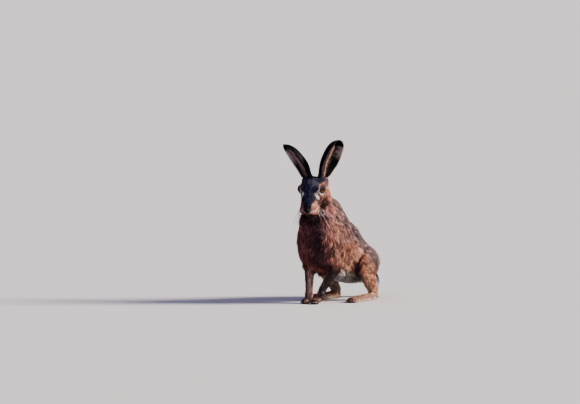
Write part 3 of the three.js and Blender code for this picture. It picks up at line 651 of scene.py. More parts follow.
def bodyColours(points, n, part):
    # the colour of each point, and how grizzled it is from 0 to 1
    p = points - shift
    x, y, z = p.T
    broad = mottle(p, 46, 1)
    fine = mottle(p, 15, 2)
    # torso: dark grizzled back, orange flanks, cream belly, rufous breast that is darkest in front, from
    # its deep maroon and from painted shade
    back = n @ unit(np.array([0, 0.55, 0.83])) + 0.09 * fine
    colour = np.tile(palette["flank"], (len(p), 1))
    lay(colour, "grizzle", smooth(back, -0.05, 0.35) * 0.9)
    lay(colour, "darkBack", smooth(back, 0.2, 0.65) * 0.85)
    low = smooth(-n[:, 2] + 0.1 * fine, 0.3, 0.62) * smooth(-z, -104, -84)
    lay(colour, "belly", low * smooth(y, -66, -30))
    ticked = 0.25 + 0.75 * smooth(back, 0.05, 0.5)
    isNeck = part == "neck"
    isChest = part == "chest"
    lay(colour, "neck", isNeck * (1 - smooth(back, 0.1, 0.6)))
    front = smooth(-n[:, 1] + 0.12 * fine, 0.1, 0.62) * smooth(-y, 30, 66)
    onBreast = np.where(isChest | isNeck, front, 0) * smooth(-z, -270, -240)
    lay(colour, "breast", onBreast)
    # painted shade over the breast's deep maroon, where its front is turned from the key light: on the left
    # and down the middle
    leftFront = smooth(-n[:, 1] + 0.12 * fine, 0.35, 0.65) * smooth(x, 14, 32)
    lay(colour, "deepBreast", onBreast * leftFront * 0.7)
    deep = smooth(-n[:, 1] + 0.1 * broad, 0.4, 0.85) * smooth(-y, 76, 100)
    deep *= 1 - smooth(np.abs(x - 18), 16, 40)
    lay(colour, "deepBreast", onBreast * deep * 0.75)
    # painted shade on the throat, in the hollow under the chin
    throat = smooth(z, 218, 236) * smooth(-y, 84, 100) * (isNeck | isChest)
    lay(colour, "deepBreast", throat * 0.85)
    mirrored = np.column_stack([np.abs(x), y, z])
    elbow = np.linalg.norm((mirrored - elbowSpot) / [1, 1, 0.9], axis=1)
    lay(colour, "flank", (1 - smooth(elbow, 18, 44)) * 0.5 * (part != "forearm"))
    # painted shade: black where the belly and the haunch meet
    fold = fromLine(p, haunchFold)
    layNear(colour, "black", fold + 4 * fine, 11, 23, 0.97)
    # limbs
    isThigh = part == "thigh"
    lay(colour, "haunch", isThigh * smooth(-n[:, 1] - 0.5 * n[:, 2], -0.1, 0.45) * 0.95)
    lay(colour, "grizzle", isThigh * smooth(n[:, 1] + 0.6 * n[:, 2], 0.1, 0.6) * 0.75)
    lay(colour, "breast", (part == "upper_arm") * (0.45 + 0.45 * smooth(-n[:, 1], 0.1, 0.7)))
    isFore = np.isin(part, ["forearm", "forepaw"])
    lay(colour, "foreleg", isFore * np.where(x > 0, 1.0, 0.9))
    inner = -np.sign(x) * n[:, 0]
    # painted light on the right foreleg's inner side, which faces the key light, over the tawny that both
    # forelegs have there
    lay(colour, "tawny", isFore * smooth(inner, 0.08, 0.5) * np.where(x > 0, 0.5, 0.97))
    lay(colour, "foot", (part == "forepaw") * 0.3)
    isShank = part == "shank"
    lay(colour, "haunch", isShank * 0.85)
    lay(colour, "grizzle", isShank * smooth(n[:, 1], 0.2, 0.8) * 0.7)
    lay(colour, "belly", isShank * smooth(inner, 0.0, 0.7) * 0.5)
    # painted shade: the same black reaches onto the thighs and shanks along where they meet the belly
    lay(colour, "black", (isThigh | isShank) * (1 - smooth(fold + 3 * fine, 9, 18)) * 0.9)
    isFoot = part == "hind_foot"
    lay(colour, "foot", isFoot * 0.85)
    lay(colour, "belly", isFoot * smooth(-n[:, 2], -0.1, 0.6) * 0.6)
    isTail = part == "tail"
    tailUp = n @ unit(np.array([0, 0.9, 0.45]))
    colour = np.where(isTail[:, None], palette["tailWhite"], colour)
    lay(colour, "tailBlack", isTail * smooth(tailUp, 0.0, 0.45))
    colour = np.where(isTail[:, None], colour, colour * (1 - 0.16 * np.clip(broad, -1, 1))[:, None])
    ticked = np.where(isTail, 0.0, ticked)
    ticked = np.where(isFore | isFoot, 0.1, ticked)
    ticked = ticked * (1 - 0.75 * onBreast)
    # head
    h = headFrame(points)
    hn = n @ headTurn
    for s in (1, -1):
        chosen = (part == "head") & (s * h[:, 0] >= 0)
        colour[chosen], ticked[chosen] = faceColours(h[chosen] * [s, 1, 1], hn[chosen] * [s, 1, 1], s)
    return colour, ticked


def earColours(points, normals, side):
    t, u, outer, along, across = earCoords(points, normals, side)
    isOuter = smooth(outer, -0.15, 0.15)
    hair = mottle(points, 7, 4)
    outside = np.tile(palette["earDark"], (len(points), 1))
    lay(outside, "crown", (1 - smooth(t, 0.1, 0.4)) * 0.6)
    lay(outside, "earPale", smooth(u, 0.2, 0.6) * (1 - smooth(t, 0.66, 0.8)) * 0.8)
    # painted shade: the hollow inside the ear is painted near black
    inside = np.tile(palette["earInside"], (len(points), 1))
    fade = (1 - smooth(t, 0.76, 0.88)) * smooth(t, 0.02, 0.12)
    stripe = 1 - smooth(u + 0.04 * hair, -0.66, -0.5)
    stripe = stripe + 0.5 * smooth(u, 0.05, 0.2) * (1 - smooth(u + 0.08 * hair, 0.36, 0.5))
    lay(inside, "earStripe", stripe * fade * (0.85 - 0.2 * hair))
    low = 0.64 if side == "left" else 0.54  # the pale patch under the tip reaches lower on the right ear
    lightPatch = smooth(t + 0.1 * u, low, low + 0.2) * (1 - smooth(t, 0.86, 0.94))
    lay(inside, "earPale", lightPatch * smooth(u + 0.12 * hair, 0.4, 0.8) * 0.9)
    colour = inside + (outside - inside) * isOuter[:, None]
    tip = smooth(t + 0.02 * hair, 0.87, 0.92)
    lay(colour, "earTip", tip)
    edge = smooth(np.abs(u), 0.92, 0.99) * smooth(t, 0.05, 0.15) * (1 - smooth(t, 0.84, 0.9))
    lay(colour, "earStripe", smooth(-u, 0.88, 0.96) * fade * (0.9 - 0.2 * hair))
    lay(colour, "fringe", edge * (u > 0) * 0.85)
    return colour, 0.15 * (1 - tip), t, u, isOuter, along, across


# materials


def newMaterial(name):
    material = bpy.data.materials.new(name)
    material.use_nodes = True
    return material, material.node_tree, material.node_tree.nodes["Principled BSDF"]


def fillInputs(tree, node, inputs):
    # an input is set to a number or a colour, or linked to the output of another node
    for key, value in inputs.items():
        if isinstance(value, bpy.types.NodeSocket):
            tree.links.new(value, node.inputs[key])
        else:
            node.inputs[key].default_value = value


def addNode(tree, kind, inputs, **settings):
    node = tree.nodes.new("ShaderNode" + kind)
    for key, value in settings.items():
        setattr(node, key, value)
    fillInputs(tree, node, inputs)
    return node


def addGrain(tree, scale, detail=2):
    place = addNode(tree, "TexCoord", {})
    grain = addNode(tree, "TexNoise", {"Vector": place.outputs["Object"], "Scale": scale, "Detail": detail})
    return grain.outputs["Fac"]


def addRamp(tree, amount, stops):
    # the colours of the stops, each a place from 0 to 1 and a colour
    ramp = addNode(tree, "ValToRGB", {"Fac": amount})
    while len(ramp.color_ramp.elements) < len(stops):
        ramp.color_ramp.elements.new(0.5)
    for element, (spot, text) in zip(ramp.color_ramp.elements, stops):
        element.position = spot
        element.color = (*hexColour(text), 1)
    return ramp.outputs["Color"]


def makeHairGroup():
    # breaks an even colour up into single hairs: light and dark streaks and a fine relief
    group = bpy.data.node_groups.new("hairBreakup", "ShaderNodeTree")
    socket = group.interface.new_socket
    socket(name="Colour", in_out="INPUT", socket_type="NodeSocketColor")
    for name in ("Streak Scale", "Patch Scale", "Contrast"):
        socket(name=name, in_out="INPUT", socket_type="NodeSocketFloat")
    socket(name="Colour", in_out="OUTPUT", socket_type="NodeSocketColor")
    for name in ("Roughness", "Height"):
        socket(name=name, in_out="OUTPUT", socket_type="NodeSocketFloat")
    given = group.nodes.new("NodeGroupInput").outputs
    fine = addGrain(group, given["Streak Scale"], 3)
    broad = addGrain(group, given["Patch Scale"], 4)
    both = addNode(group, "Math", {0: fine, 1: broad}, operation="ADD")
    level = addNode(group, "Math", {0: both.outputs[0], 1: 1}, operation="SUBTRACT")
    factors = {0: level.outputs[0], 1: given["Contrast"], 2: 1}
    scaled = addNode(group, "Math", factors, operation="MULTIPLY_ADD")
    tint = addNode(group, "VectorMath", {0: given["Colour"], "Scale": scaled.outputs[0]}, operation="SCALE")
    rough = addNode(group, "MapRange", {"Value": fine, "To Min": 0.36, "To Max": 0.66})
    result = {"Colour": tint.outputs[0], "Roughness": rough.outputs[0], "Height": fine}
    fillInputs(group, group.nodes.new("NodeGroupOutput"), result)
    return group


hairBreakup = makeHairGroup()


def hairMaterial(name, streakScale, patchScale, contrast, sheen, bump, shine):
    material, tree, shader = newMaterial(name)
    broken = addNode(tree, "Group", {
        "Colour": addNode(tree, "Attribute", {}, attribute_name="coat").outputs["Color"],
        "Streak Scale": streakScale,
        "Patch Scale": patchScale,
        "Contrast": contrast,
    }, node_tree=hairBreakup)
    height = broken.outputs["Height"]
    relief = addNode(tree, "Bump", {"Strength": bump, "Distance": 0.0005, "Height": height})
    fillInputs(tree, shader, {
        "Base Color": broken.outputs["Colour"],
        "Roughness": broken.outputs["Roughness"],
        "Normal": relief.outputs["Normal"],
        "Sheen Weight": sheen,
        "Specular IOR Level": shine,
    })
    return material


# scale of the streaks and of the patches, contrast, sheen, relief and shine
hairLooks = {
    "shortHairOverSkin": (700, 70, 0.8, 0.05, 0.8, 0.3),
    "coatHair": (500, 55, 0.9, 0.1, 0.25, 0.45),
    "faceHair": (900, 110, 0.7, 0.05, 0.2, 0.2),
    "earHair": (900, 90, 0.7, 0.05, 0.2, 0.15),
    "earSkin": (900, 90, 0.6, 0, 0.3, 0.15),
}
hairMaterials = {name: hairMaterial(name, *look) for name, look in hairLooks.items()}


def paint(piece, colours):
    layer = piece.data.color_attributes.new(name="coat", type="FLOAT_COLOR", domain="POINT")
    data = np.ones((len(colours), 4), np.float32)
    data[:, :3] = colours
    layer.data.foreach_set("color", data.ravel())


# the growth of the coat over the whole skin: part, colour, lie and sizes at each vertex


def lieField(points, normals, part, edges):
    lie = np.zeros_like(points)
    for name, direction in lieOf.items():
        lie[part == name] = unit(np.array(direction, float))
    # the breast parts to both sides, and is drawn forward in front of the forelegs
    x = (points - shift)[:, 0]
    isBreast = np.isin(part, ["chest", "neck"])
    lie[isBreast, 0] += 0.0015 * x[isBreast]
    ahead = smooth(-normals[:, 1], 0.1, 0.6) * smooth((shift - points)[:, 1], 56, 86)
    lie[isBreast, 1] -= 1.1 * ahead[isBreast]
    # on the head it sweeps back from the nose, and hangs under the jaw and from its end
    h = headFrame(points)
    jawEnd = smooth(-h[:, 2:], 0, 14) * smooth(h[:, 1:2], 40, 56) * (1 - smooth(h[:, 1:2], 78, 92))
    back = unit(h - np.array([0, -16, -6]) - jawEnd * [0, 0, 60]) @ headTurn.T
    back += (np.array([0, -0.3, -1.2]) - back) * smooth(-h[:, 2:], 15, 20) * smooth(h[:, 1:2], 2, 14)
    lie = np.where((part == "head")[:, None], back, lie)
    lie = spread(lie, edges, 16)
    # and it parts round the eyes
    for name in sides:
        away = points - eyeSpots[name]
        gap = np.linalg.norm(away, axis=1, keepdims=True)
        outwards = away / np.maximum(gap, 1e-6)
        inwards = np.minimum(np.einsum("ij,ij->i", lie, outwards), 0)[:, None]
        lie = lie - outwards * inwards * (1 - smooth(gap, 15, 27)) * 1.1
    return unit(squareTo(lie, normals))


skinPoints = pointsOf(skin)
skinNormals = normalsOf(skin)
skinEdges = edgesOf(skin)
skinPart = partsAt(skinPoints)
skinGrowth = growthAt(skinPart, skinEdges)


def varyGrowth():
    # shorter hair towards the nose, short and dense round the eyes, longer behind and under the jaw
    _, length, _, density, stand, _ = skinGrowth.T
    isHead = skinPart == "head"
    h = headFrame(skinPoints)
    length *= 1 - 0.4 * isHead * (1 - smooth(h[:, 1], 24, 56))
    for name in sides:
        gap = np.linalg.norm(skinPoints - eyeSpots[name], axis=1)
        length *= 0.42 + 0.58 * smooth(gap, 15, 27)
        density *= 1.5 - 0.5 * smooth(gap, 16, 26)
    underJaw = isHead * smooth(-h[:, 2], 15, 20) * smooth(h[:, 1], 2, 14)
    behindJaw = isHead * smooth(h[:, 1], 38, 58) * (1 - smooth(h[:, 2], -8, 10))
    length += 9 * underJaw + 11 * behindJaw
    stand += 22 * underJaw + 8 * behindJaw
    # the throat's hair stands up into the hollow under the chin
    p = skinPoints - shift
    underChin = smooth(skinNormals[:, 2], 0.25, 0.6) * smooth(-p[:, 1], 84, 98) * smooth(p[:, 2], 212, 226)
    stand += 42 * underChin * np.isin(skinPart, ["neck", "chest"])


varyGrowth()
skinLie = lieField(skinPoints, skinNormals, skinPart, skinEdges)


def softColours(points, normals, part, edges):
    # the markings run into each other on the body, and stay sharp on the head
    colour, ticked = bodyColours(points, normals, part)
    both = np.hstack([colour, ticked[:, None]])
    keep = spread((part == "head")[:, None].astype(float), edges, 6)
    mixed = spread(both, edges, 7) * (1 - keep) + spread(both, edges, 1) * keep
    return mixed[:, :3], mixed[:, 3]


underCoat = {"body": 0.55, "ear": 0.7}  # the skin is this much darker than the hair over it
skinColour, skinTicked = softColours(skinPoints, skinNormals, skinPart, skinEdges)
paint(skin, skinColour * underCoat["body"])
skin.data.materials.append(hairMaterials["shortHairOverSkin"])
print("markings laid on the skin")

# coat: thin tapered tufts rooted in the skin, laid along the body


def scatter(points, triangles, density):
    # random places on the triangles, so many to a square centimetre: vertex ids and weights
    a, b, c = (points[triangles[:, i]] for i in range(3))
    area = np.linalg.norm(np.cross(b - a, c - a), axis=1) / 2
    wanted = area * density[triangles].mean(1) / 100
    count = np.floor(wanted + rng.random(len(wanted))).astype(int)
    chosen = np.repeat(np.arange(len(triangles)), count)
    r1 = np.sqrt(rng.random(len(chosen)))
    r2 = rng.random(len(chosen))
    weights = np.stack([1 - r1, r1 * (1 - r2), r1 * r2], 1)
    return triangles[chosen], weights


def blendAt(values, ids, weights):
    if values.ndim == 1:
        return (values[ids] * weights).sum(1)
    return (values[ids] * weights[:, :, None]).sum(1)


tuftSetup = {
    "sunk": 0.6,  # how deep the root is in the skin, mm
    "sunkShare": 0.09,  # and at most this share of the length
    "ridge": 0.38,  # height of the ridge, as a share of the width
    "lowest": 0.3,  # nothing comes nearer the floor, mm
    "patch": (0.0022, 0.0026),  # its place in the unwrapping
}


def tuftMesh(name, roots, normals, lie, length, width, stand, tipPull, colours, rings, uv):
    # `rings` lists the share of the length and of the width at each ring, before the tip, and
    # `colours` holds those of the roots and of the tips
    count = len(roots)
    side = np.cross(lie, normals)
    shares = [r[0] for r in rings] + [1.0]
    stations = []
    place = roots - normals * np.minimum(tuftSetup["sunk"], tuftSetup["sunkShare"] * length)[:, None]
    previous = 0.0
    for k, share in enumerate(shares):
        if k:
            bend = stand * (1.45 - 1.15 * share)  # stands at the root and lies down to the tip
            step = (share - previous) * length
            place = place + (lie * np.cos(bend)[:, None] + normals * np.sin(bend)[:, None]) * step[:, None]
        previous = share
        stations.append(place + tipPull * share ** 1.5)
    verts = []
    for k, (share, wide) in enumerate(rings):
        w = (width * wide)[:, None]
        ridge = normals * w * tuftSetup["ridge"]
        verts += [stations[k] - side * w / 2, stations[k] + side * w / 2, stations[k] + ridge]
    verts.append(stations[-1])
    perTuft = len(verts)
    points = np.stack(verts, 1).reshape(-1, 3)
    points[:, 2] = np.maximum(points[:, 2], tuftSetup["lowest"])
    faces = [(0, 1, 2)]
    for k in range(len(rings) - 1):
        for j in range(3):
            a, b = 3 * k + j, 3 * k + (j + 1) % 3
            faces += [(a, a + 3, b), (b, a + 3, b + 3)]
    last = 3 * (len(rings) - 1)
    faces += [(last + j, perTuft - 1, last + (j + 1) % 3) for j in range(3)]
    faces = np.array(faces)
    every = (faces[None] + np.arange(count)[:, None, None] * perTuft).reshape(-1, 3)
    along = np.repeat(np.array(shares), [3] * len(rings) + [1])
    fromRoot = along[None, :, None]
    shade = colours[0][:, None] * (1 - fromRoot) + colours[1][:, None] * fromRoot
    mesh = bpy.data.meshes.new(name)
    mesh.vertices.add(len(points))
    mesh.vertices.foreach_set("co", (points * mm).astype(np.float32).ravel())
    mesh.loops.add(every.size)
    mesh.loops.foreach_set("vertex_index", every.astype(np.int32).ravel())
    mesh.polygons.add(len(every))
    mesh.polygons.foreach_set("loop_start", np.arange(0, every.size, 3, dtype=np.int32))
    mesh.polygons.foreach_set("use_smooth", np.ones(len(every), bool))
    mesh.update(calc_edges=True)
    piece = bpy.data.objects.new(name, mesh)
    scene.collection.objects.link(piece)
    paint(piece, shade.reshape(-1, 3))
    # each tuft is a small patch at its root's place on the unwrapped skin
    wide, tall = tuftSetup["patch"]
    patch = np.stack([np.tile([0, wide, wide / 2], len(rings)), tall * along[:-1]], 1)
    patch = np.vstack([patch, [wide / 2, tall]])
    coords = (uv[:, None, :] + patch[None]).reshape(-1, 2)
    layer = mesh.uv_layers.new(name="OFBake")
    layer.data.foreach_set("uv", coords[every.ravel()].astype(np.float32).ravel())
    return piece


def unwrap(points, axisStart, axisEnd):
    # round and along the part's own axis, from 0.01 to 0.98
    axis = unit(axisEnd - axisStart)
    first = unit(np.cross(axis, [0.3, 0.1, 1.0] if abs(axis[2]) < 0.8 else [1.0, 0.2, 0]))
    second = np.cross(axis, first)
    d = points - axisStart
    angle = np.arctan2(d @ second, d @ first)
    height = d @ axis
    u = 0.01 + 0.97 * (angle + math.pi) / (2 * math.pi)
    v = 0.01 + 0.97 * (height - height.min()) / max(np.ptp(height), 1)
    return np.stack([u, v], 1)


def locksOf(roots, direction, spacing):
    # centres drawn from the roots, about so far apart across the hair and three times that
    # along it, and the nearest one for each root
    mean = unit(direction.mean(0))
    squeezed = roots - mean * (roots @ mean)[:, None] * 0.66
    cells = {}
    for i in rng.permutation(len(roots)):
        cells.setdefault(tuple(np.floor(squeezed[i] / spacing).astype(int)), i)
    kept = np.array(list(cells.values()))
    tree = nearTree(squeezed[kept])
    nearest = np.array([tree.find(p)[1] for p in squeezed.tolist()])
    return roots[kept], nearest


hairShades = {
    "root": 0.22,  # of the coat's colour at that place
    "tip": 1.6,
    "darkTip": 0.28,
    "lightTip": 1.1,
    "tick": {"coatHair": 0.45, "faceHair": 0.22, "earHair": 0.22},  # pale pink added to light tips
    "darkShare": (0.24, 0.4),  # share of hairs with dark tips, and what full grizzling adds
    "lightShare": (0.05, 0.2),
    "asLock": 0.35,  # share of the hairs that are as dark or light as their lock
    "lockSpread": 0.42,  # how much the locks differ in brightness
    "hairSpread": 0.12,
}
hairVaries = {  # from hair to hair, as shares of its sizes
    "length": (0.7, 1.2),
    "width": (0.75, 1.25),
    "stand": (0.5, 1.5),
    "clump": (0.6, 1.1),
    "turn": 0.16,
    "sway": 0.1,
}


def growCoat(name, chosen, ground, axis, rings, spacing, look):
    # `ground` is what the hair grows on: points, normals, lie, sizes, colour and tick at each vertex
    density = ground["sizes"][:, growthKeys.index("density")]
    ids, weights = scatter(ground["points"], chosen, density)
    at = {key: blendAt(values, ids, weights) for key, values in ground.items()}
    roots, base, tick = at["points"], at["colour"], at["tick"]
    n, direction = unit(at["normals"]), unit(at["lie"])
    _, length, width, _, stand, clump = at["sizes"].T
    count = len(roots)
    length = length * rng.uniform(*hairVaries["length"], count)
    width = width * rng.uniform(*hairVaries["width"], count)
    stand = np.radians(stand) * rng.uniform(*hairVaries["stand"], count)
    turn = rng.normal(0, hairVaries["turn"], count)
    side = np.cross(direction, n)
    direction = unit(direction * np.cos(turn)[:, None] + side * np.sin(turn)[:, None])
    clump = clump * rng.uniform(*hairVaries["clump"], count)
    pull = side * (rng.normal(0, hairVaries["sway"], count) * length)[:, None]
    shade = np.ones(count)
    draw = rng.random(count)
    if spacing:
        centres, nearest = locksOf(roots, direction, spacing)
        # hairs close up sideways, into pointed locks
        apart = squareTo(squareTo(centres[nearest] - roots, n), direction)
        edge = smooth(np.linalg.norm(apart, axis=1) / spacing, 0.15, 0.55)
        lift = rng.uniform(-0.5, 1.0, len(centres))[nearest] * 0.12 + 0.05 * (1 - edge)
        pull += apart * clump[:, None] + n * (lift * clump * length)[:, None]
        tone = np.exp(rng.normal(0, hairShades["lockSpread"], len(centres)))[nearest]
        lockDraw = rng.random(len(centres))[nearest]
        # hairs in a lock's middle are lighter and those at its edges darker: painted light on the lock's
        # crest and painted shade in the gaps between locks
        shade = tone * (1 + clump * (0.5 - 1.25 * edge))
        draw = np.where(rng.random(count) < hairShades["asLock"], lockDraw, draw)
    shade = (shade * rng.normal(1, hairShades["hairSpread"], count))[:, None]
    dark, light = (a + b * tick for a, b in (hairShades["darkShare"], hairShades["lightShare"]))
    dark = (draw < dark)[:, None]
    light = (draw > 1 - light)[:, None]
    tip = np.where(dark, base * hairShades["darkTip"] + palette["black"] * 0.2, base * hairShades["tip"])
    pale = base * hairShades["lightTip"] + palette["tick"] * hairShades["tick"][look]
    tip = np.where(light, pale, tip)
    colours = [np.clip(c * shade, 0.003, 0.9) for c in (base * hairShades["root"], tip)]
    uv = unwrap(roots, *axis)
    piece = tuftMesh(name, roots, n, direction, length, width, stand, pull, colours, rings, uv)
    piece.data.materials.append(hairMaterials[look])
    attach(piece, "root")
    print(name, len(piece.data.polygons))
    return len(piece.data.polygons)


shortTuft = [(0.0, 0.7), (0.5, 1.0)]
longTuft = [(0.0, 0.7), (0.38, 1.0), (0.74, 0.62)]

triangles = trianglesOf(skin)
middles = skinPoints[triangles].mean(1)
triPart = skinPart[triangles[:, 0]]
triHead = headFrame(middles)


def bareTriangles():
    # no tufts on the eyes, in the nostrils and the mouth, or under the soles
    bare = (middles[:, 2] < 2.2) & (skinNormals[triangles[:, 0], 2] < -0.6)
    inFold = (fromFaceLine(triHead, "nostril") < 1.5) | (fromFaceLine(triHead, "mouth") < 1.1)
    bare |= inFold & (triPart == "head")
    for name in sides:
        look = headTurn @ unit(eyeLook * [sides[name], 1, 1])
        away = middles - eyeSpots[name]
        gap = np.linalg.norm(away, axis=1)
        bare |= (gap < 13.5) & (away @ look / gap > 0.58)
        bare |= gap <= 10.9
    return bare


covered = ~bareTriangles()
onLeft = middles[:, 0] - shift[0] >= 0
onFace = triHead[:, 1] < 62
everywhere = np.ones(len(triangles), bool)

# what each mesh of the coat is unwrapped round
coatAxes = {
    "head": ((3, -135.5, 248), (0, -80, 290)),
    "neck": ((0, -60, 200), (-5, -60, 300)),
    "chest": ((0, -50, 100), (0, -50, 240)),
    "belly": ((0, -40, 150), (0, 80, 100)),
    "rump": ((0, 40, 110), (0, 130, 80)),
    "tail": ((0, 138, 84), (0, 176, 27)),
    "upper_arm": ((0, -66, 90), (0, -66, 180)),
    "forearm": ((0, -80, 0), (0, -80, 100)),
    "thigh": ((0, 70, 60), (0, 70, 150)),
    "shank": ((0, 60, 0), (0, 60, 100)),
}
# the parts that each mesh of the coat covers, where on them, the space between its locks and its slot
coatPieces = [
    ("coatFace", ["head"], onFace, 3.2, "coat_grizzled"),
    ("coatCrown", ["head"], ~onFace, 4, "coat_grizzled"),
    ("coatNeckLeft", ["neck"], onLeft, 4.2, "coat_grizzled"),
    ("coatNeckRight", ["neck"], ~onLeft, 4.2, "coat_grizzled"),
    ("coatBreastLeft", ["chest"], onLeft, 4.6, "coat_russet"),
    ("coatBreastRight", ["chest"], ~onLeft, 4.6, "coat_russet"),
    ("coatBackLeft", ["belly"], onLeft, 4.4, "coat_russet"),
    ("coatBackRight", ["belly"], ~onLeft, 4.4, "coat_russet"),
    ("coatRump", ["rump"], everywhere, 4.4, "coat_grizzled"),
    ("coatTail", ["tail"], everywhere, 4.4, "coat_grizzled"),
    ("coatArms", ["upper_arm"], everywhere, 4.6, "coat_russet"),
    ("coatForelegs", ["forearm", "forepaw"], everywhere, 4, "coat_russet"),
    ("coatThighs", ["thigh"], everywhere, 4.4, "coat_grizzled"),
    ("coatHindLegs", ["shank", "hind_foot"], everywhere, 4, "coat_russet"),
]
skinGround = dict(points=skinPoints, normals=skinNormals, lie=skinLie, sizes=skinGrowth,
                  colour=skinColour, tick=skinTicked)
total = 0
for name, parts, where, spacing, slot in coatPieces:
    chosen = triangles[np.isin(triPart, parts) & where & covered]
    axis = [np.array(a, float) + shift for a in coatAxes[parts[0]]]
    rings = longTuft if parts[0] in ("neck", "chest") else shortTuft
    look = "faceHair" if parts[0] == "head" else "coatHair"
    total += growCoat(name, chosen, skinGround, axis, rings, spacing, look)

for side, ear in ears.items():
    points = pointsOf(ear)
    normals = normalsOf(ear)
    colour, ticked, t, u, isOuter, along, across = earColours(points, normals, side)
    paint(ear, colour * underCoat["ear"])
    ear.data.materials.append(hairMaterials["earSkin"])
    # hair lies towards the tip, and leans out over the margins: short and pale behind, and in
    # front as a tan band across the opening
    margin = smooth(np.abs(u), 0.86, 0.98)
    front = smooth(-u, 0.88, 0.96) * smooth(t, 0.02, 0.1) * (1 - smooth(t, 0.78, 0.9))
    lie = along + across * (0.28 * margin + 0.9 * front)[:, None]
    lie -= normals * np.einsum("ij,ij->i", lie, normals)[:, None] * (1 - 0.5 * margin)[:, None]
    size = np.tile(growth["ear"], (len(points), 1))
    _, length, width, density, _, _ = size.T
    length *= 0.8 + 0.3 * isOuter + 1.1 * front
    width *= 1 - 0.3 * margin
    density *= (0.75 + 0.25 * isOuter) * (1 + 0.8 * margin + 2 * front)
    ground = dict(points=points, normals=normals, lie=unit(lie), sizes=size, colour=colour, tick=ticked)
    grid = earGrids[side][0]
    total += growCoat("coatEar" + side.capitalize(), trianglesOf(ear), ground, [grid[15], grid[-16]],
                      shortTuft, 0, "earHair")
print("coat grown,", total, "triangles")

selectOnly(skin, ears["left"], ears["right"])
bpy.ops.object.join()
bpy.ops.object.shade_smooth()
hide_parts(*fleshNodes, *earNodes)
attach(skin, "root")

# eyes

eyeSetup = {
    "radius": 10.2,
    "reach": 9.4,  # how far out on the ball the colours go, mm
    "bulge": 0.7,  # of the cornea
    "gaze": (1.1, 1.7),  # both pupils are turned a little to the hare's left, and up
    "rimRadius": 8.0,  # before it is drawn out
    "rimWide": 9.0,
    "rimAbove": 7.3,
    "rimBelow": 8.0,
    "rimThick": 1.0,
    "colours": [(0.0, "020202"), (0.68, "040303"), (0.72, "4a1d0a"), (0.77, "b4521a"),
                (0.88, "c86a28"), (0.95, "7a3210"), (0.99, "160b08"), (1.0, "080505")],
}


def makeEyeMaterial():
    material, tree, shader = newMaterial("amberEye")
    off = addNode(tree, "Attribute", {}, attribute_name="offAxis").outputs["Fac"]
    wobble = addNode(tree, "Math", {0: addGrain(tree, 900), 1: 0.06, 2: off}, operation="MULTIPLY_ADD")
    fillInputs(tree, shader, {
        "Base Color": addRamp(tree, wobble.outputs[0], eyeSetup["colours"]),
        "Roughness": 0.12,
        "Specular IOR Level": 0.05,
        "Coat Weight": 0.28,
        "Coat Roughness": 0.03,
    })
    return material


def makeLidMaterial():
    material, tree, shader = newMaterial("lidSkin")
    grain = addGrain(tree, 1400)
    relief = addNode(tree, "Bump", {"Strength": 0.5, "Distance": 0.0003, "Height": grain})
    fillInputs(tree, shader, {
        "Base Color": addRamp(tree, grain, [(0, "120c0a"), (1, "3a2720")]),
        "Roughness": 0.6,
        "Specular IOR Level": 0.25,
        "Normal": relief.outputs["Normal"],
    })
    return material


eyeMaterial = makeEyeMaterial()
lidMaterial = makeLidMaterial()


def makeEye(side):
    axes = (headTurn @ eyeFrame(sides[side]).T).T  # rows: towards the nose, up, the way it looks
    radius = eyeSetup["radius"]
    bpy.ops.object.select_all(action="DESELECT")
    bpy.ops.mesh.primitive_uv_sphere_add(segments=48, ring_count=32, radius=radius * mm, location=(0, 0, 0))
    eye = bpy.context.object
    eye.name = eye.data.name = "eyeball" + side.capitalize()
    points = pointsOf(eye)
    off = np.hypot(points[:, 0], points[:, 1])
    aside, up = eyeSetup["gaze"]
    fromPupil = np.hypot(points[:, 0] + sides[side] * aside, points[:, 1] - up)
    outer = points[:, 2] > 0
    points[:, 2] += np.where(outer, eyeSetup["bulge"] * (1 - smooth(off, 3.5, 8.2)), 0)
    layer = eye.data.attributes.new("offAxis", "FLOAT", "POINT")
    layer.data.foreach_set("value", np.where(outer, fromPupil / eyeSetup["reach"], 1.0).astype(np.float32))
    movePoints(eye, points @ axes + eyeSpots[side])
    eye.data.materials.append(eyeMaterial)
    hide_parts("eye_" + side)
    # the lids' dark rim: a ring on the ball, drawn out to a corner towards the nose, heavier above
    bpy.ops.object.select_all(action="DESELECT")
    bpy.ops.mesh.primitive_torus_add(
        major_segments=64, minor_segments=12, location=(0, 0, 0),
        major_radius=eyeSetup["rimRadius"] * mm, minor_radius=eyeSetup["rimThick"] * mm)
    rim = bpy.context.object
    rim.name = rim.data.name = "lidRim" + side.capitalize()
    points = pointsOf(rim)
    angle = np.arctan2(points[:, 1], points[:, 0])
    around = np.stack([np.cos(angle), np.sin(angle), np.zeros(len(angle))], 1)
    outwards = np.hypot(points[:, 0], points[:, 1]) - eyeSetup["rimRadius"]
    lift = points[:, 2]
    tall = np.where(around[:, 1] > 0, eyeSetup["rimAbove"], eyeSetup["rimBelow"])
    wide = eyeSetup["rimWide"] + 0.7 * np.maximum(around[:, 0], 0) ** 6
    ring = around * np.stack([wide, tall, tall], 1)
    ring[:, 2] = np.sqrt((radius + 0.45) ** 2 - (ring ** 2).sum(1))
    n = unit(ring)
    away = unit(squareTo(around, n))
    heavy = 1 + 0.6 * smooth(around[:, 1], -0.3, 0.8)
    points = ring + away * (outwards * heavy)[:, None] + n * (lift * heavy)[:, None]
    movePoints(rim, points @ axes + eyeSpots[side])
    rim.data.materials.append(lidMaterial)
    for piece in (eye, rim):
        editAll(piece, bpy.ops.mesh.normals_make_consistent, inside=False)
        bpy.ops.object.shade_smooth()
        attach(piece, "root")


for side in sides:
    makeEye(side)
print("eyes made")

# whiskers

whiskerSetup = {
    "perSide": 8,
    "length": 74,
    "thick": 1.2,
    "fall": {1: 0.85, -1: 1.6},  # how steeply they droop on the left (1) and the right (-1)
}


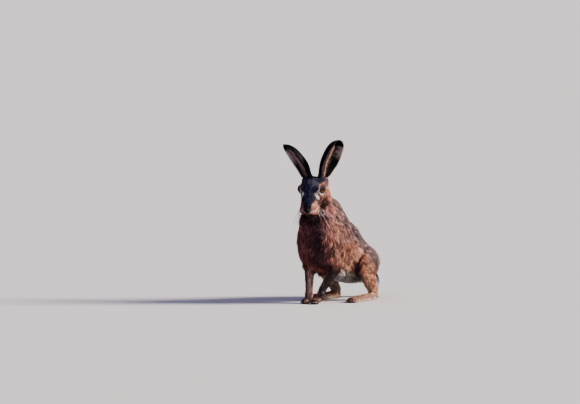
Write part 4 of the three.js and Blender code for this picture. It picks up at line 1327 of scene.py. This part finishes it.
def makeWhiskers():
    material, tree, shader = newMaterial("whiskerHair")
    shade = addNode(tree, "Attribute", {}, attribute_name="coat")
    fillInputs(tree, shader, {"Base Color": shade.outputs["Color"], "Roughness": 0.35})
    roots, lie, length = [], [], []
    surface = BVHTree.FromObject(skin, bpy.context.evaluated_depsgraph_get())
    for s in (1, -1):
        for i in range(whiskerSetup["perSide"]):
            row, column = divmod(i, 5)
            aim = np.array([s * 13, 13 + 4.5 * column, -5 - 4 * row + rng.normal(0, 0.7)])
            start = headTurn @ (aim * [2.4, 1, 1]) + noseTip
            inwards = unit(headTurn @ np.array([-s, 0, 0.0]))
            hit = surface.ray_cast(Vector(start * mm), Vector(inwards))
            if hit[0] is None:
                continue
            roots.append(np.array(hit[0]) / mm)
            outward = headTurn @ np.array([s, 0, 0])
            fall = whiskerSetup["fall"][s] + 0.3 * row - 0.1 * column + rng.normal(0, 0.2)
            lie.append(unit(outward + np.array([0, 0.03 * column, -fall]) + rng.normal(0, 0.05, 3)))
            length.append(whiskerSetup["length"] * rng.uniform(0.6, 1.1) * (0.75 + 0.08 * column))
    roots, lie, length = np.array(roots), np.array(lie), np.array(length)
    down = np.tile([0, 0, -1.0], (len(roots), 1))
    n = unit(squareTo(down, lie))
    rings = [(0, 1), (0.2, 0.9), (0.4, 0.75), (0.6, 0.6), (0.8, 0.4)]
    width = np.full(len(roots), whiskerSetup["thick"])
    pale = np.tile(palette["tailWhite"], (len(roots), 1))
    uv = unwrap(roots, noseTip, noseTip + headTurn @ np.array([0, 1.0, 0]))
    stand = np.full(len(roots), 0.12)
    colours = [pale * 0.9, pale]
    piece = tuftMesh("whiskers", roots, n, lie, length, width, stand, n * 7.0, colours, rings, uv)
    piece.data.materials.append(material)
    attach(piece, "root")


makeWhiskers()
print("whiskers made")

# claws keep their CAD shape, in horn


def makeHorn():
    material, tree, shader = newMaterial("clawHorn")
    colour = addRamp(tree, addGrain(tree, 600), [(0, "1d1512"), (1, "5b4a3c")])
    fillInputs(tree, shader, {"Base Color": colour, "Roughness": 0.38})
    return material


horn = makeHorn()
for name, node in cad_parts.items():
    if "claw" in name:
        node.data.materials.clear()
        node.data.materials.append(horn)

# floor and light

floorSetup = {"size": 90, "colour": "aaa8a2"}
worldLight = {"colour": (0.7, 0.68, 1.0, 1), "strength": 0.42}
lights = {  # degrees round from straight ahead, degrees up, softness in degrees, power and tint
    "keyLight": (122, 26, 18, 9, (1.0, 0.92, 0.86)),
    "fillLight": (4, 40, 60, 0.95, (0.6, 0.58, 1.0)),
}


def makeFloor():
    bpy.ops.object.select_all(action="DESELECT")
    bpy.ops.mesh.primitive_plane_add(size=floorSetup["size"], location=(0, 0, 0))
    floor = bpy.context.object
    floor.name = "studioFloor"
    material, tree, shader = newMaterial("paleFloor")
    fillInputs(tree, shader, {"Base Color": (*hexColour(floorSetup["colour"]), 1), "Roughness": 0.9})
    floor.data.materials.append(material)


def makeLights():
    scene.world = bpy.data.worlds.new("studioWorld")
    scene.world.use_nodes = True
    background = scene.world.node_tree.nodes["Background"]
    background.inputs["Color"].default_value = worldLight["colour"]
    background.inputs["Strength"].default_value = worldLight["strength"]
    for name, (azimuth, elevation, softness, power, tint) in lights.items():
        a, e = math.radians(azimuth), math.radians(elevation)
        back = Vector((math.sin(a) * math.cos(e), -math.cos(a) * math.cos(e), math.sin(e)))
        bpy.ops.object.light_add(type="SUN", location=back * 3)
        light = bpy.context.object
        light.name = name
        light.rotation_mode = "QUATERNION"
        light.rotation_quaternion = (-back).to_track_quat("-Z", "Y")
        light.data.angle = math.radians(softness)
        light.data.energy = power
        light.data.color = tint


makeFloor()
makeLights()
scene.view_settings.view_transform = "AgX"
scene.view_settings.look = "AgX - High Contrast"
print("floor and lights made")
